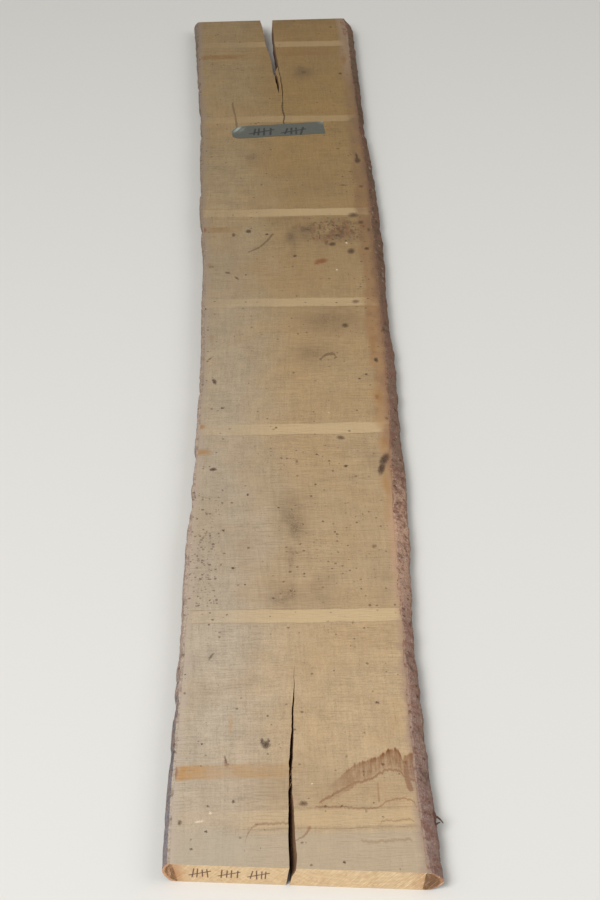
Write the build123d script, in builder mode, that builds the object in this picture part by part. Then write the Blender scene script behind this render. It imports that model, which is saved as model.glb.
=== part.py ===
"""Live-edge timber plank: one board sawn from a log, lying flat, with a strip of tape on its face.

The board keeps the log's own wandering edges. Both faces and both ends are sawn flat. Each edge
swells between the two faces, where the round of the log is left, and the lower face is the
narrower one. A split runs in from each end and goes right through the board. Inside the far split
a splinter still stands, joined to the board at its root only.

Origin: middle of the underside. +X is to the right and +Y runs along the board to its far end.
All sizes are in millimetres.
"""

import os

from build123d import *

# The sawn board
LENGTH = 2440.0
THICKNESS = 32.0
NEAR_END_SKEW = 25.6  # the near end's left corner lies this much further in than its right one
UNDERCUT = 4.5  # how much further in the edges are on the lower face

# Live edges: half widths of the upper face, at even steps from the near end to the far end
LEFT_EDGE = (158, 156.5, 152, 150, 149, 144, 141, 138, 141, 141, 150, 153.5, 156, 160.5, 168, 172, 176)
RIGHT_EDGE = (
    158, 151.5, 153.5, 155.5, 158, 161.5, 167.5, 171, 172, 172.5, 174, 174.5, 170.5, 169, 166, 162.5, 153
)

# Swell of each edge beyond the upper face, at the same steps
LEFT_SWELL = (7.5, 6.5, 5.5, 3.5, 1.5, 1, 1, 1.5, 1, 1, 1, 1, 1, 1.5, 2, 5, 9)
RIGHT_SWELL = (14, 17.5, 14, 14.5, 19.5, 20.5, 17.5, 19, 15, 19, 17.5, 16, 12, 10.5, 14, 14, 18)
SWELL_HEIGHT = 16.0  # height above the underside at which an edge is widest
WORN_CORNER = 14.0  # radius to which the far end's right corner is worn

# Far split on the upper face, at even steps from the far end to the split's tip
FAR_SPLIT_REACH = 380.0
FAR_SPLIT_LEFT = (-33, -27.5, -24, -19.5, -13, -8.5, -5.5, -0.5)  # X of its left wall
FAR_SPLIT_WIDTH = (28.5, 23, 21.5, 19, 15, 10.5, 6, 5.5)
FAR_SPLIT_TIP = 4.0  # X of its tip
FAR_SPLIT_LEAN = 3.0  # how far it moves to the left from the upper face to the lower one

# Splinter to the right of the far split, and the side crack that frees it, at the last steps of
# the far split and at its tip. The crack runs on for one step past that tip. A width under 0 is
# where the splinter has broken off and the crack joins the split.
SPLINTER_WIDTH = (-4, 0, 6.5, 5, 7.6)
SIDE_CRACK_WIDTH = (4, 3.5, 1.8, 2, 1.7)
SIDE_CRACK_TIP = 12.6

# Near split on the upper face, at even steps from the near end to the split's tip
NEAR_SPLIT_REACH = 358.0
NEAR_SPLIT_LEFT = (-11, -11.5, -10.5, -9, -8, -4.5, -2, -0.3)
NEAR_SPLIT_WIDTH = (8, 8.5, 6.5, 4, 4.2, 2.8, 2, 1.4)
NEAR_SPLIT_TIP = 2.0
NEAR_SPLIT_LEAN = 4.5

# Strip of tape across the upper face
TAPE_LENGTH = 190.0
TAPE_WIDTH = 52.0
TAPE_THICKNESS = 0.4
TAPE_FROM_FAR_END = 548.0
TAPE_OFF_CENTRE = 1.0
TAPE_TURN = 4.0  # degrees, its right end towards the far end
TAPE_CORNER = 14.0  # its slanted corner

CUT_PAST = 5.0  # how far a cutting shape reaches past the faces that it cuts through
END_Y = LENGTH / 2


def steps(count, start, end):
    """Return count positions, spread evenly from start to end."""
    return [start + (end - start) * index / (count - 1) for index in range(count)]


def board_outline(left_out, right_out):
    """Draw the board's outline, each edge moved out from the upper face's by its own offsets."""
    left_x = [-half - out for half, out in zip(LEFT_EDGE, left_out)]
    right_x = [half + out for half, out in zip(RIGHT_EDGE, right_out)]
    left_y = steps(len(left_x), -END_Y + NEAR_END_SKEW / 2, END_Y)
    right_y = steps(len(right_x), -END_Y - NEAR_END_SKEW / 2, END_Y)
    left = Spline(*zip(left_x, left_y))
    right = Spline(*zip(right_x, right_y))
    Line(left @ 1, right @ 1)
    Line(left @ 0, right @ 0)


def split_outline(left_x, widths, tip_x, mouth_y, tip_y, shift):
    """Draw the outline of a split: two walls that meet at its tip, moved sideways by shift."""
    wall_y = steps(len(left_x) + 1, mouth_y, tip_y)
    left_wall = [x + shift for x in (*left_x, tip_x)]
    right_wall = [x + width + shift for x, width in zip((*left_x, tip_x), (*widths, 0))]
    left = Spline(*zip(left_wall, wall_y))
    right = Spline(*zip(right_wall, wall_y))
    Line(left @ 0, right @ 0)


# The side crack starts inside the far split and ends one step past the split's tip
far_mouth = END_Y + CUT_PAST
far_tip = END_Y - FAR_SPLIT_REACH
far_step = (far_mouth - far_tip) / len(FAR_SPLIT_LEFT)
far_right_wall = [x + width for x, width in zip(FAR_SPLIT_LEFT, FAR_SPLIT_WIDTH)] + [FAR_SPLIT_TIP]
crack_left = [
    wall + splinter
    for wall, splinter in zip(far_right_wall[-len(SPLINTER_WIDTH) :], SPLINTER_WIDTH)
]
crack_mouth = far_tip + (len(SPLINTER_WIDTH) - 1) * far_step
crack_tip = far_tip - far_step
near_mouth = -END_Y - CUT_PAST
near_tip = -END_Y + NEAR_SPLIT_REACH

# Left wall, widths, X of the tip, Y of the mouth, Y of the tip and lean of each split
SPLITS = (
    (FAR_SPLIT_LEFT, FAR_SPLIT_WIDTH, FAR_SPLIT_TIP, far_mouth, far_tip, FAR_SPLIT_LEAN),
    (crack_left, SIDE_CRACK_WIDTH, SIDE_CRACK_TIP, crack_mouth, crack_tip, FAR_SPLIT_LEAN),
    (NEAR_SPLIT_LEFT, NEAR_SPLIT_WIDTH, NEAR_SPLIT_TIP, near_mouth, near_tip, NEAR_SPLIT_LEAN),
)

# Board, lofted through its underside, its widest level and its upper face
with BuildPart() as plank:
    levels = (
        (0, [-UNDERCUT] * len(LEFT_EDGE), [-UNDERCUT] * len(RIGHT_EDGE)),
        (SWELL_HEIGHT, LEFT_SWELL, RIGHT_SWELL),
        (THICKNESS, [0] * len(LEFT_EDGE), [0] * len(RIGHT_EDGE)),
    )
    for height, left_out, right_out in levels:
        with BuildSketch(Plane.XY.offset(height)):
            with BuildLine():
                board_outline(left_out, right_out)
            make_face()
    loft()

    # Each split is lofted from below the board to above it, leaning to the left on its way down
    for left_x, widths, tip_x, mouth_y, tip_y, lean in SPLITS:
        for height in (-CUT_PAST, THICKNESS + CUT_PAST):
            shift = -lean * (THICKNESS - height) / THICKNESS
            with BuildSketch(Plane.XY.offset(height)):
                with BuildLine():
                    split_outline(left_x, widths, tip_x, mouth_y, tip_y, shift)
                make_face()
        loft(mode=Mode.SUBTRACT)

    # The far end's right corner is worn round
    corner_x = RIGHT_EDGE[-1] + RIGHT_SWELL[-1] - WORN_CORNER
    with BuildSketch(Plane.XY.offset(-CUT_PAST)):
        with Locations((corner_x, END_Y - WORN_CORNER)):
            Rectangle(
                WORN_CORNER + CUT_PAST, WORN_CORNER + CUT_PAST, align=(Align.MIN, Align.MIN)
            )
            Circle(WORN_CORNER, mode=Mode.SUBTRACT)
    extrude(amount=THICKNESS + 2 * CUT_PAST, mode=Mode.SUBTRACT)
plank.part.label = "plank"

# Tape, stuck face to face on the upper face
tape_plane = Plane(
    origin=(TAPE_OFF_CENTRE, END_Y - TAPE_FROM_FAR_END, THICKNESS),
    x_dir=(1, 0, 0),
    z_dir=(0, 0, 1),
).rotated((0, 0, TAPE_TURN))
with BuildPart() as tape_strip:
    with BuildSketch(tape_plane):
        strip = Rectangle(TAPE_LENGTH, TAPE_WIDTH)
        chamfer(strip.vertices().group_by(Axis.Y)[-1].sort_by(Axis.X)[0], length=TAPE_CORNER)
    extrude(amount=TAPE_THICKNESS)
tape_strip.part.label = "tape_strip"

os.makedirs("parts", exist_ok=True)
export_step(plank.part, "parts/plank.step")
export_step(tape_strip.part, "parts/tape_strip.step")
print("plank volume", round(plank.part.volume / 1e9, 5), "m3")
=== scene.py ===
"""Dress of a live-edge timber plank: sawn faces, bark edges, splits and a strip of cloth tape.

The board lies on the floor with its near end towards the camera. Its outline comes from the
frame's own solid. Lengths are in millimetres, and a piece turns them into metres as it is made.
"""

from __future__ import annotations

import logging
import math
from dataclasses import dataclass, field
from enum import IntEnum

import bpy
import numpy as np
from mathutils import Matrix, Vector

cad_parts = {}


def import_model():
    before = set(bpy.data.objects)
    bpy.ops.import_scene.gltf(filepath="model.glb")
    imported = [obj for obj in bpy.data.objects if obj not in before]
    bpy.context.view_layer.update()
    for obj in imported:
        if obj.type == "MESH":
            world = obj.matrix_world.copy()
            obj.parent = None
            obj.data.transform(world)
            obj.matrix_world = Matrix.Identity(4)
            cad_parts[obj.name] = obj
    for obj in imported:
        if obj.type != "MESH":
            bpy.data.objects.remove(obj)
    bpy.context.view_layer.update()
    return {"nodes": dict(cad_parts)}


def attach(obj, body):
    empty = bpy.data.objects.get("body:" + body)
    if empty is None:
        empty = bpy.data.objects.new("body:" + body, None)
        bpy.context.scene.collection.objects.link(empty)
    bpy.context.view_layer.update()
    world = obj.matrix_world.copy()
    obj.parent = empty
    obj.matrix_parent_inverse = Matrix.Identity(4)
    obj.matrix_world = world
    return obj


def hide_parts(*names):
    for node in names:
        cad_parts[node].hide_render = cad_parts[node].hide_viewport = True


LOG = logging.getLogger("plank")
MM = 0.001
SPOT_REACH = 1.4  # squared distance, in rims, at which a spot has faded out
PAST_EDGE = 400.0  # X beyond the board's edges, where a band ends that runs right across
BAND_FADE = 60.0  # length over which a band fades that ends on the board
PEN_STRENGTH = 0.92  # how far a pen stroke covers what is under it
LEAST_SPECKS = 0.035  # density of specks outside the fields of specks

Array = np.ndarray
Colour = tuple[float, float, float]
Place = tuple[float, float]
Point = tuple[float, float, float]
Stops = tuple[tuple[float, Colour], ...]
Socket = bpy.types.NodeSocket
Value = Socket | float | Colour
Faces = list[list[int]]


def srgb(red: int, green: int, blue: int) -> Colour:
    """Turn an 8-bit display colour into the linear colour that a shader takes.

    Args:
        red: red level, from 0 to 255.
        green: green level.
        blue: blue level.

    Returns:
        The linear colour, each channel from 0 to 1.
    """

    def linear(level: int) -> float:
        """Undo the display curve of one channel."""
        share = level / 255
        return share / 12.92 if share <= 0.04045 else ((share + 0.055) / 1.055) ** 2.4

    return linear(red), linear(green), linear(blue)


# Noise and curves


def smooth_step(low: float, high: float, value: Array) -> Array:
    """Rise from 0 at low to 1 at high, level at both ends."""
    share = np.clip((value - low) / (high - low), 0, 1)
    return share * share * (3 - 2 * share)


def value_noise(x: Array, y: Array, seed: int) -> Array:
    """Smooth noise from -1 to 1: random heights at whole numbers, blended by a smooth step.

    Args:
        x: first coordinate, in cells.
        y: second coordinate, in cells.
        seed: picks the table of random heights.

    Returns:
        One height for each point.
    """
    table = np.random.default_rng(seed).uniform(-1, 1, (256, 256))
    low_x, low_y = np.floor(x).astype(int), np.floor(y).astype(int)
    fade_x, fade_y = smooth_step(0, 1, x - low_x), smooth_step(0, 1, y - low_y)
    left, right = low_x % 256, (low_x + 1) % 256
    near, far = low_y % 256, (low_y + 1) % 256
    first = table[left, near] * (1 - fade_x) + table[right, near] * fade_x
    second = table[left, far] * (1 - fade_x) + table[right, far] * fade_x
    return first * (1 - fade_y) + second * fade_y


def layered_noise(x: Array, y: Array, seed: int, layers: int = 3) -> Array:
    """Sum value noise over layers, each of twice the frequency and half the height.

    Args:
        x: first coordinate, in cells of the first layer.
        y: second coordinate.
        seed: picks the first layer's table of random heights.
        layers: how many layers there are.

    Returns:
        One height for each point, from about -1 to 1.
    """
    x, y = np.broadcast_arrays(x, y)
    heights = (value_noise(x * 2**k, y * 2**k, seed + k) / 2**k for k in range(layers))
    return sum(heights) / 1.6


def cell_noise(x: Array, y: Array, seed: int) -> tuple[Array, Array, Array]:
    """Split the plane into cells round scattered points.

    Args:
        x: first coordinate, in cells.
        y: second coordinate, in cells.
        seed: picks the scattered points.

    Returns:
        Distance to the nearest point, distance to the second nearest, and a random value from
        -1 to 1 for each cell.
    """
    x, y = np.broadcast_arrays(x, y)
    random = np.random.default_rng(seed)
    jitter_x, jitter_y, tone = random.uniform(0, 1, (3, 256, 256))
    low_x, low_y = np.floor(x).astype(int), np.floor(y).astype(int)
    first, second, value = np.full(x.shape, 9.0), np.full(x.shape, 9.0), np.zeros(x.shape)
    for step_x in (-1, 0, 1):
        for step_y in (-1, 0, 1):
            cell_x, cell_y = low_x + step_x, low_y + step_y
            pick = cell_x % 256, cell_y % 256
            distance = np.hypot(cell_x + jitter_x[pick] - x, cell_y + jitter_y[pick] - y)
            nearer = distance < first
            second = np.where(nearer, first, np.minimum(second, distance))
            value = np.where(nearer, tone[pick] * 2 - 1, value)
            first = np.where(nearer, distance, first)
    return first, second, value


def follow(points: tuple[Place, ...], at: Array) -> Array:
    """Read a line, given as (place, value) pairs with rising places."""
    places, values = zip(*points)
    return np.interp(at, places, values)


# Meshes


def quads(index: Array, flip: bool) -> Faces:
    """Join each vertex of a table to its next row and column, as four-sided faces.

    Args:
        index: vertex numbers by row and column.
        flip: whether the faces are turned over.

    Returns:
        The faces, row by row.
    """
    faces = np.stack([index[:-1, :-1], index[1:, :-1], index[1:, 1:], index[:-1, 1:]], -1)
    faces = faces.reshape(-1, 4)
    return (faces[:, ::-1] if flip else faces).tolist()


def weld(points: Array, faces: Faces) -> tuple[Array, Faces, Array]:
    """Join vertices that lie in one place and drop the faces that this empties.

    Args:
        points: vertex places, in millimetres.
        faces: vertex numbers of each face.

    Returns:
        The places that are left, the new faces, and which of the old faces they are.
    """
    _, kept, number = np.unique(np.round(points, 3), axis=0, return_index=True, return_inverse=True)
    number = number.ravel().tolist()
    joined, used = [], []
    for place, face in enumerate(faces):
        corners = list(dict.fromkeys(number[corner] for corner in face))
        if len(corners) > 2:
            joined.append(corners)
            used.append(place)
    return points[kept], joined, np.array(used)


def make_piece(
    name: str,
    points: Array,
    faces: Faces,
    materials: list[bpy.types.Material],
    regions: Array | None = None,
    fields: dict[str, Array] | None = None,
    sharp_angle: float = 40,
) -> bpy.types.Object:
    """Turn points and faces into one object at the origin.

    Args:
        name: the piece's name.
        points: vertex places, in millimetres.
        faces: vertex numbers of each face.
        materials: the piece's finishes.
        regions: which of the finishes each face has.
        fields: values to store at each vertex, by name.
        sharp_angle: edges that turn by more than this many degrees stay sharp.

    Returns:
        The new object, linked to the scene.
    """
    mesh = bpy.data.meshes.new(name)
    mesh.from_pydata((points * MM).tolist(), [], faces)
    for material in materials:
        mesh.materials.append(material)
    if regions is not None:
        mesh.polygons.foreach_set("material_index", np.asarray(regions, np.int32))
    for label, values in (fields or {}).items():
        layer = mesh.attributes.new(label, "FLOAT", "POINT")
        layer.data.foreach_set("value", np.asarray(values, np.float32))
    mesh.polygons.foreach_set("use_smooth", np.ones(len(mesh.polygons), bool))
    mesh.set_sharp_from_angle(angle=math.radians(sharp_angle))
    mesh.validate()
    mesh.update()
    piece = bpy.data.objects.new(name, mesh)
    bpy.context.scene.collection.objects.link(piece)
    triangles = sum(len(face) - 2 for face in faces)
    LOG.info("%s: %d vertices, %d triangles", name, len(points), triangles)
    return piece


# Shader graphs


@dataclass(frozen=True)
class Spot:
    """A round or drawn-out mark: its middle, half sizes, turn in degrees and strength."""

    x: float
    y: float
    half_x: float
    half_y: float
    turn: float = 0.0
    strength: float = 1.0

    def field(self, x: Array, y: Array, power: int) -> Array:
        """Strength of the mark at each point: it dies away with a power of the distance."""
        across, along = (x - self.x) / self.half_x, (y - self.y) / self.half_y
        return self.strength * np.exp(-(across**power) - along**power)


@dataclass(frozen=True)
class Trace:
    """A drawn line: its points, half its width and its strength."""

    points: tuple[Place, ...]
    half: float
    strength: float = 1.0


class Graph:
    """A short way to write shader nodes: each method adds one node and returns its output."""

    def __init__(self, tree: bpy.types.NodeTree) -> None:
        """Work on the given node tree."""
        self.tree = tree
        self.count = 0

    def node(self, kind: str, **settings: object) -> bpy.types.Node:
        """Add a node, and set it beside or below the last one.

        Args:
            kind: the node's type, without its first word.
            settings: properties of the node, by name.

        Returns:
            The node.
        """
        node = self.tree.nodes.new("ShaderNode" + kind)
        node.location = (self.count // 8 * 200, -(self.count % 8) * 180)
        self.count += 1
        for name, value in settings.items():
            setattr(node, name, value)
        return node

    def feed(self, socket: Socket, value: Value) -> None:
        """Link a socket to another, or set it to a value.

        Args:
            socket: the input that is fed.
            value: an output to link to it, a number, a colour or a vector.
        """
        if isinstance(value, bpy.types.NodeSocket):
            self.tree.links.new(value, socket)
        elif socket.type == "RGBA":
            socket.default_value = (*value, 1.0)
        else:
            socket.default_value = value

    def math(self, operation: str, *values: Value) -> Socket:
        """Add a Math node.

        Args:
            operation: what it works out.
            values: its inputs, in order.

        Returns:
            The result.
        """
        node = self.node("Math", operation=operation)
        for socket, value in zip(node.inputs, values):
            self.feed(socket, value)
        return node.outputs[0]

    def vector(self, operation: str, *values: Value) -> Socket:
        """Add a Vector Math node.

        Args:
            operation: what it works out.
            values: its inputs, in order.

        Returns:
            The resulting vector.
        """
        node = self.node("VectorMath", operation=operation)
        for socket, value in zip(node.inputs, values):
            self.feed(socket, value)
        return node.outputs[0]

    def ramp(
        self, value: Value, low: Value, high: Value, start: Value = 0.0, end: Value = 1.0
    ) -> Socket:
        """Carry a value from low..high to start..end, smoothly and no further.

        Args:
            value: what is carried over.
            low: the value that gives the start.
            high: the value that gives the end.
            start: result at low and below.
            end: result at high and above.

        Returns:
            The result.
        """
        node = self.node("MapRange", interpolation_type="SMOOTHSTEP")
        for socket, given in zip(node.inputs, (value, low, high, start, end)):
            self.feed(socket, given)
        return node.outputs[0]

    def noise(
        self, vector: Socket, scale: Value, detail: float = 2.0, rough: float = 0.5
    ) -> tuple[Socket, Socket]:
        """Add a Noise Texture.

        Args:
            vector: the point at which it is read.
            scale: how many cells a millimetre holds.
            detail: how many finer layers are added.
            rough: strength of each finer layer, as a share of the last one's.

        Returns:
            Its value and its colour.
        """
        node = self.node("TexNoise")
        given = {"Vector": vector, "Scale": scale, "Detail": detail, "Roughness": rough}
        for name, value in given.items():
            self.feed(node.inputs[name], value)
        return node.outputs[0], node.outputs[1]

    def mix(self, share: Value, first: Value, second: Value, blend: str = "MIX") -> Socket:
        """Mix two colours.

        Args:
            share: how much of the second one is taken.
            first: the colour underneath.
            second: the colour on top.
            blend: how they are joined.

        Returns:
            The mixed colour.
        """
        node = self.node("Mix", data_type="RGBA", blend_type=blend, clamp_factor=True)
        for place, given in ((0, share), (6, first), (7, second)):
            self.feed(node.inputs[place], given)
        return node.outputs[2]

    def shade(self, colour: Socket, amount: Socket) -> Socket:
        """Lighten or darken a colour by a share of itself.

        Args:
            colour: the colour.
            amount: the share, which is under nought where it darkens.

        Returns:
            The new colour.
        """
        level = self.math("ADD", amount, 1.0)
        grey = self.node("CombineColor")
        for socket in grey.inputs:
            self.feed(socket, level)
        return self.mix(1.0, colour, grey.outputs[0], "MULTIPLY")

    def blend(self, value: Socket, stops: Stops) -> Socket:
        """Pass from one colour to the next as a value rises.

        Args:
            value: the value.
            stops: the values at which the colour is pure, rising, each with its colour.

        Returns:
            The colour.
        """
        colour: Value = stops[0][1]
        for (low, _), (high, ahead) in zip(stops, stops[1:]):
            colour = self.mix(self.ramp(value, low, high), colour, ahead)
        return colour

    def combine(self, x: Value, y: Value, z: Value = 0.0) -> Socket:
        """Join three values into a vector.

        Args:
            x: the first value.
            y: the second value.
            z: the third value.

        Returns:
            The vector.
        """
        node = self.node("CombineXYZ")
        for socket, value in zip(node.inputs, (x, y, z)):
            self.feed(socket, value)
        return node.outputs[0]

    def split(self, vector: Socket) -> tuple[Socket, Socket, Socket]:
        """Part a vector.

        Args:
            vector: the vector, or a colour.

        Returns:
            Its three values.
        """
        node = self.node("SeparateXYZ")
        self.feed(node.inputs[0], vector)
        return node.outputs[0], node.outputs[1], node.outputs[2]

    def attribute(self, name: str) -> Socket:
        """Read a value that is stored on the mesh."""
        return self.node("Attribute", attribute_name=name).outputs["Fac"]

    def plane(self, x: Socket, y: Socket, a: float, b: float, c: float) -> Socket:
        """Add a times x, b times y and c, and leave out what a factor of nought takes away.

        Args:
            x: the first value.
            y: the second value.
            a: factor of x.
            b: factor of y.
            c: what is added.

        Returns:
            The sum.
        """
        if not a:
            return self.math("MULTIPLY_ADD", y, b, c)
        return self.math("MULTIPLY_ADD", x, a, self.math("MULTIPLY_ADD", y, b, c) if b else c)

    def squares(self, first: Socket, second: Socket, more: float = 0.0) -> Socket:
        """Add the squares of two values, and a number."""
        square = self.math("MULTIPLY_ADD", second, second, more)
        return self.math("MULTIPLY_ADD", first, first, square)

    def oval(self, x: Socket, y: Socket, spot: Spot) -> Socket:
        """Squared distance from a spot's middle, 1 at its rim, and raised all over if it is weak.

        Only plain values are used, because a shader runs out of room when many vectors wait.

        Args:
            x: the point's X.
            y: the point's Y.
            spot: the mark.

        Returns:
            The squared distance.
        """
        cos, sin = math.cos(math.radians(spot.turn)), math.sin(math.radians(spot.turn))
        a, b = cos / spot.half_x, sin / spot.half_x
        across = self.plane(x, y, a, b, -a * spot.x - b * spot.y)
        a, b = -sin / spot.half_y, cos / spot.half_y
        along = self.plane(x, y, a, b, -a * spot.x - b * spot.y)
        return self.squares(across, along, SPOT_REACH * (1 - spot.strength))

    def ovals(self, x: Socket, y: Socket, spots: tuple[Spot, ...]) -> Socket:
        """Squared distance to whichever spot is nearest.

        Args:
            x: the point's X.
            y: the point's Y.
            spots: the marks.

        Returns:
            The least of their squared distances.
        """
        nearest: Value = 9.0
        for spot in spots:
            nearest = self.math("MINIMUM", self.oval(x, y, spot), nearest)
        return nearest

    def stroke(self, x: Socket, y: Socket, start: Place, end: Place) -> Socket:
        """Distance to a straight stroke: aside of it, and beyond either of its ends.

        Args:
            x: the point's X.
            y: the point's Y.
            start: one end of the stroke.
            end: its other end.

        Returns:
            The distance.
        """
        length = math.dist(start, end)
        ux, uy = (end[0] - start[0]) / length, (end[1] - start[1]) / length
        aside = self.plane(x, y, -uy, ux, uy * start[0] - ux * start[1])
        middle = -ux * (start[0] + end[0]) / 2 - uy * (start[1] + end[1]) / 2
        along = self.math("ABSOLUTE", self.plane(x, y, ux, uy, middle))
        beyond = self.math("MAXIMUM", self.math("SUBTRACT", along, length / 2), 0.0)
        return self.math("SQRT", self.squares(aside, beyond))

    def spots(self, x: Socket, y: Socket, spots: tuple[Spot, ...]) -> Socket:
        """Mask of soft-rimmed spots."""
        return self.ramp(self.ovals(x, y, spots), 0.0, SPOT_REACH, 1.0, 0.0)

    def line(self, x: Socket, y: Socket, points: tuple[Place, ...]) -> Socket:
        """Distance to a drawn line: aside of it, and beyond either of its ends.

        Two points make a straight stroke. More make a curve over whichever axis it covers more of.

        Args:
            x: the point's X.
            y: the point's Y.
            points: the points of the line, in any order along it.

        Returns:
            The distance.
        """
        if len(points) == 2:
            return self.stroke(x, y, *points)
        wide, tall = (max(values) - min(values) for values in zip(*points))
        if tall > wide:
            x, y, points = y, x, tuple((b, a) for a, b in points)
        points = tuple(sorted(points))
        start, end = points[0][0], points[-1][0]
        aside = self.math("ABSOLUTE", self.math("SUBTRACT", y, self.curve(x, points)))
        along = self.math("ABSOLUTE", self.math("SUBTRACT", x, (start + end) / 2))
        beyond = self.math("MAXIMUM", self.math("SUBTRACT", along, (end - start) / 2), 0.0)
        return self.math("ADD", aside, beyond)

    def traces(self, x: Socket, y: Socket, traces: tuple[Trace, ...], soft: float = 0.6) -> Socket:
        """Mask of drawn lines.

        Args:
            x: the point's X.
            y: the point's Y.
            traces: the lines.
            soft: how far their rims are blurred.

        Returns:
            The strength of whichever line is strongest there.
        """
        total: Value = 0.0
        for trace in traces:
            reach = self.line(x, y, trace.points)
            mask = self.ramp(reach, trace.half - soft, trace.half + soft, trace.strength, 0.0)
            total = self.math("MAXIMUM", total, mask)
        return total

    def curve(self, value: Socket, points: tuple[Place, ...]) -> Socket:
        """Read a curve.

        Args:
            value: the place at which it is read.
            points: (place, height) pairs with rising places.

        Returns:
            The height there.
        """
        places, heights = zip(*points)
        low, high = min(heights), max(heights)
        share = self.node("MapRange")
        for socket, given in zip(share.inputs, (value, places[0], places[-1])):
            self.feed(socket, given)
        node = self.node("FloatCurve")
        line = node.mapping.curves[0]
        corners = [
            ((place - places[0]) / (places[-1] - places[0]), (height - low) / (high - low))
            for place, height in points
        ]
        line.points[0].location, line.points[-1].location = corners[0], corners[-1]
        for corner in corners[1:-1]:
            line.points.new(*corner)
        node.mapping.update()
        self.feed(node.inputs["Value"], share.outputs[0])
        return self.math("MULTIPLY_ADD", node.outputs[0], high - low, low)

    def group(self, tree: bpy.types.NodeTree, **values: Value) -> dict[str, Socket]:
        """Place a node group.

        Args:
            tree: the group.
            values: its inputs, by name.

        Returns:
            Its outputs, by name.
        """
        node = self.node("Group", node_tree=tree)
        for name, value in values.items():
            self.feed(node.inputs[name], value)
        return {socket.name: socket for socket in node.outputs}

    def millimetres(self) -> Socket:
        """Object coordinates, in millimetres."""
        place = self.node("TexCoord").outputs["Object"]
        return self.vector("MULTIPLY", place, (1 / MM, 1 / MM, 1 / MM))


def new_group(
    name: str, takes: dict[str, str], gives: dict[str, str]
) -> tuple[Graph, dict[str, Socket], bpy.types.NodeInputs]:
    """Start a shader node group.

    Args:
        name: the group's name.
        takes: socket type of each input, by name.
        gives: socket type of each output, by name.

    Returns:
        The graph inside the group, its inputs by name, and the sockets that it gives out.
    """
    tree = bpy.data.node_groups.new(name, "ShaderNodeTree")
    for way, sockets in (("INPUT", takes), ("OUTPUT", gives)):
        for label, kind in sockets.items():
            tree.interface.new_socket(label, in_out=way, socket_type="NodeSocket" + kind)
    graph = Graph(tree)
    entry, leaving = tree.nodes.new("NodeGroupInput"), tree.nodes.new("NodeGroupOutput")
    return graph, {socket.name: socket for socket in entry.outputs}, leaving.inputs


def saw_marks_group() -> bpy.types.NodeTree:
    """Fine lines that a band saw leaves across the grain.

    Noise that is stretched across the board gives lines of uneven strength, and a second, wider
    noise fades them in and out. Crosswise is the board's X and lengthwise its Y, in millimetres.

    Returns:
        The group.
    """
    graph, given, out = new_group(
        "Saw marks",
        {"Place": "Vector", "Pitch": "Float", "Slant": "Float", "Fade": "Float"},
        {"Tone": "Float"},
    )
    x, y, _ = graph.split(given["Place"])
    leaning = graph.math("MULTIPLY_ADD", x, given["Slant"], y)
    lines = graph.math("DIVIDE", leaning, given["Pitch"])
    short, long = (graph.math("MULTIPLY", x, share) for share in (0.03, 0.009))
    fine, _ = graph.noise(graph.combine(short, lines, 3.0), 1.6, 1.0, 0.6)
    broad, _ = graph.noise(graph.combine(long, lines, 9.0), 0.55, 2.0, 0.6)
    patch, _ = graph.noise(graph.vector("MULTIPLY", given["Place"], (0.012, 0.006, 0.01)), 1.0, 1.0)
    strength = graph.ramp(patch, 0.35, 0.62, given["Fade"], 1.0)
    wide = graph.ramp(broad, 0.3, 0.7, -0.45, 0.4)
    tone = graph.math("ADD", graph.ramp(fine, 0.3, 0.62, -0.7, 0.5), wide)
    graph.feed(out["Tone"], graph.math("MULTIPLY", tone, strength))
    return graph.tree


def long_grain_group() -> bpy.types.NodeTree:
    """Fibres, growth rings and pores that run along the board.

    Noise that is stretched along the board gives the fibres. The rings are bands of a slow noise
    that is stretched the same way. Pores are the darkest streaks of a finer noise.

    Returns:
        The group.
    """
    graph, given, out = new_group(
        "Long grain",
        {"Place": "Vector", "Stretch": "Float"},
        {"Fibre": "Float", "Ring": "Float", "Pore": "Float"},
    )
    bend, _ = graph.noise(graph.vector("MULTIPLY", given["Place"], (0.004, 0.0012, 0.004)), 1.0, 1.0)
    x, y, z = graph.split(given["Place"])
    across = graph.math("MULTIPLY_ADD", bend, 60.0, x)
    along = graph.math("DIVIDE", y, given["Stretch"])
    drawn = graph.combine(across, along, z)
    fibre, _ = graph.noise(graph.vector("MULTIPLY", drawn, (0.3, 1.0, 0.3)), 1.0, 4.0, 0.7)
    slow, _ = graph.noise(graph.vector("MULTIPLY", drawn, (0.05, 0.35, 0.05)), 1.0, 2.0)
    pore, _ = graph.noise(graph.vector("MULTIPLY", drawn, (1.0, 2.2, 1.0)), 0.9, 2.0, 0.7)
    graph.feed(out["Fibre"], graph.ramp(fibre, 0.3, 0.7, -1.0, 1.0))
    graph.feed(out["Ring"], graph.math("SINE", graph.math("MULTIPLY", slow, 46.0)))
    graph.feed(out["Pore"], graph.ramp(pore, 0.64, 0.72))
    return graph.tree


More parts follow.
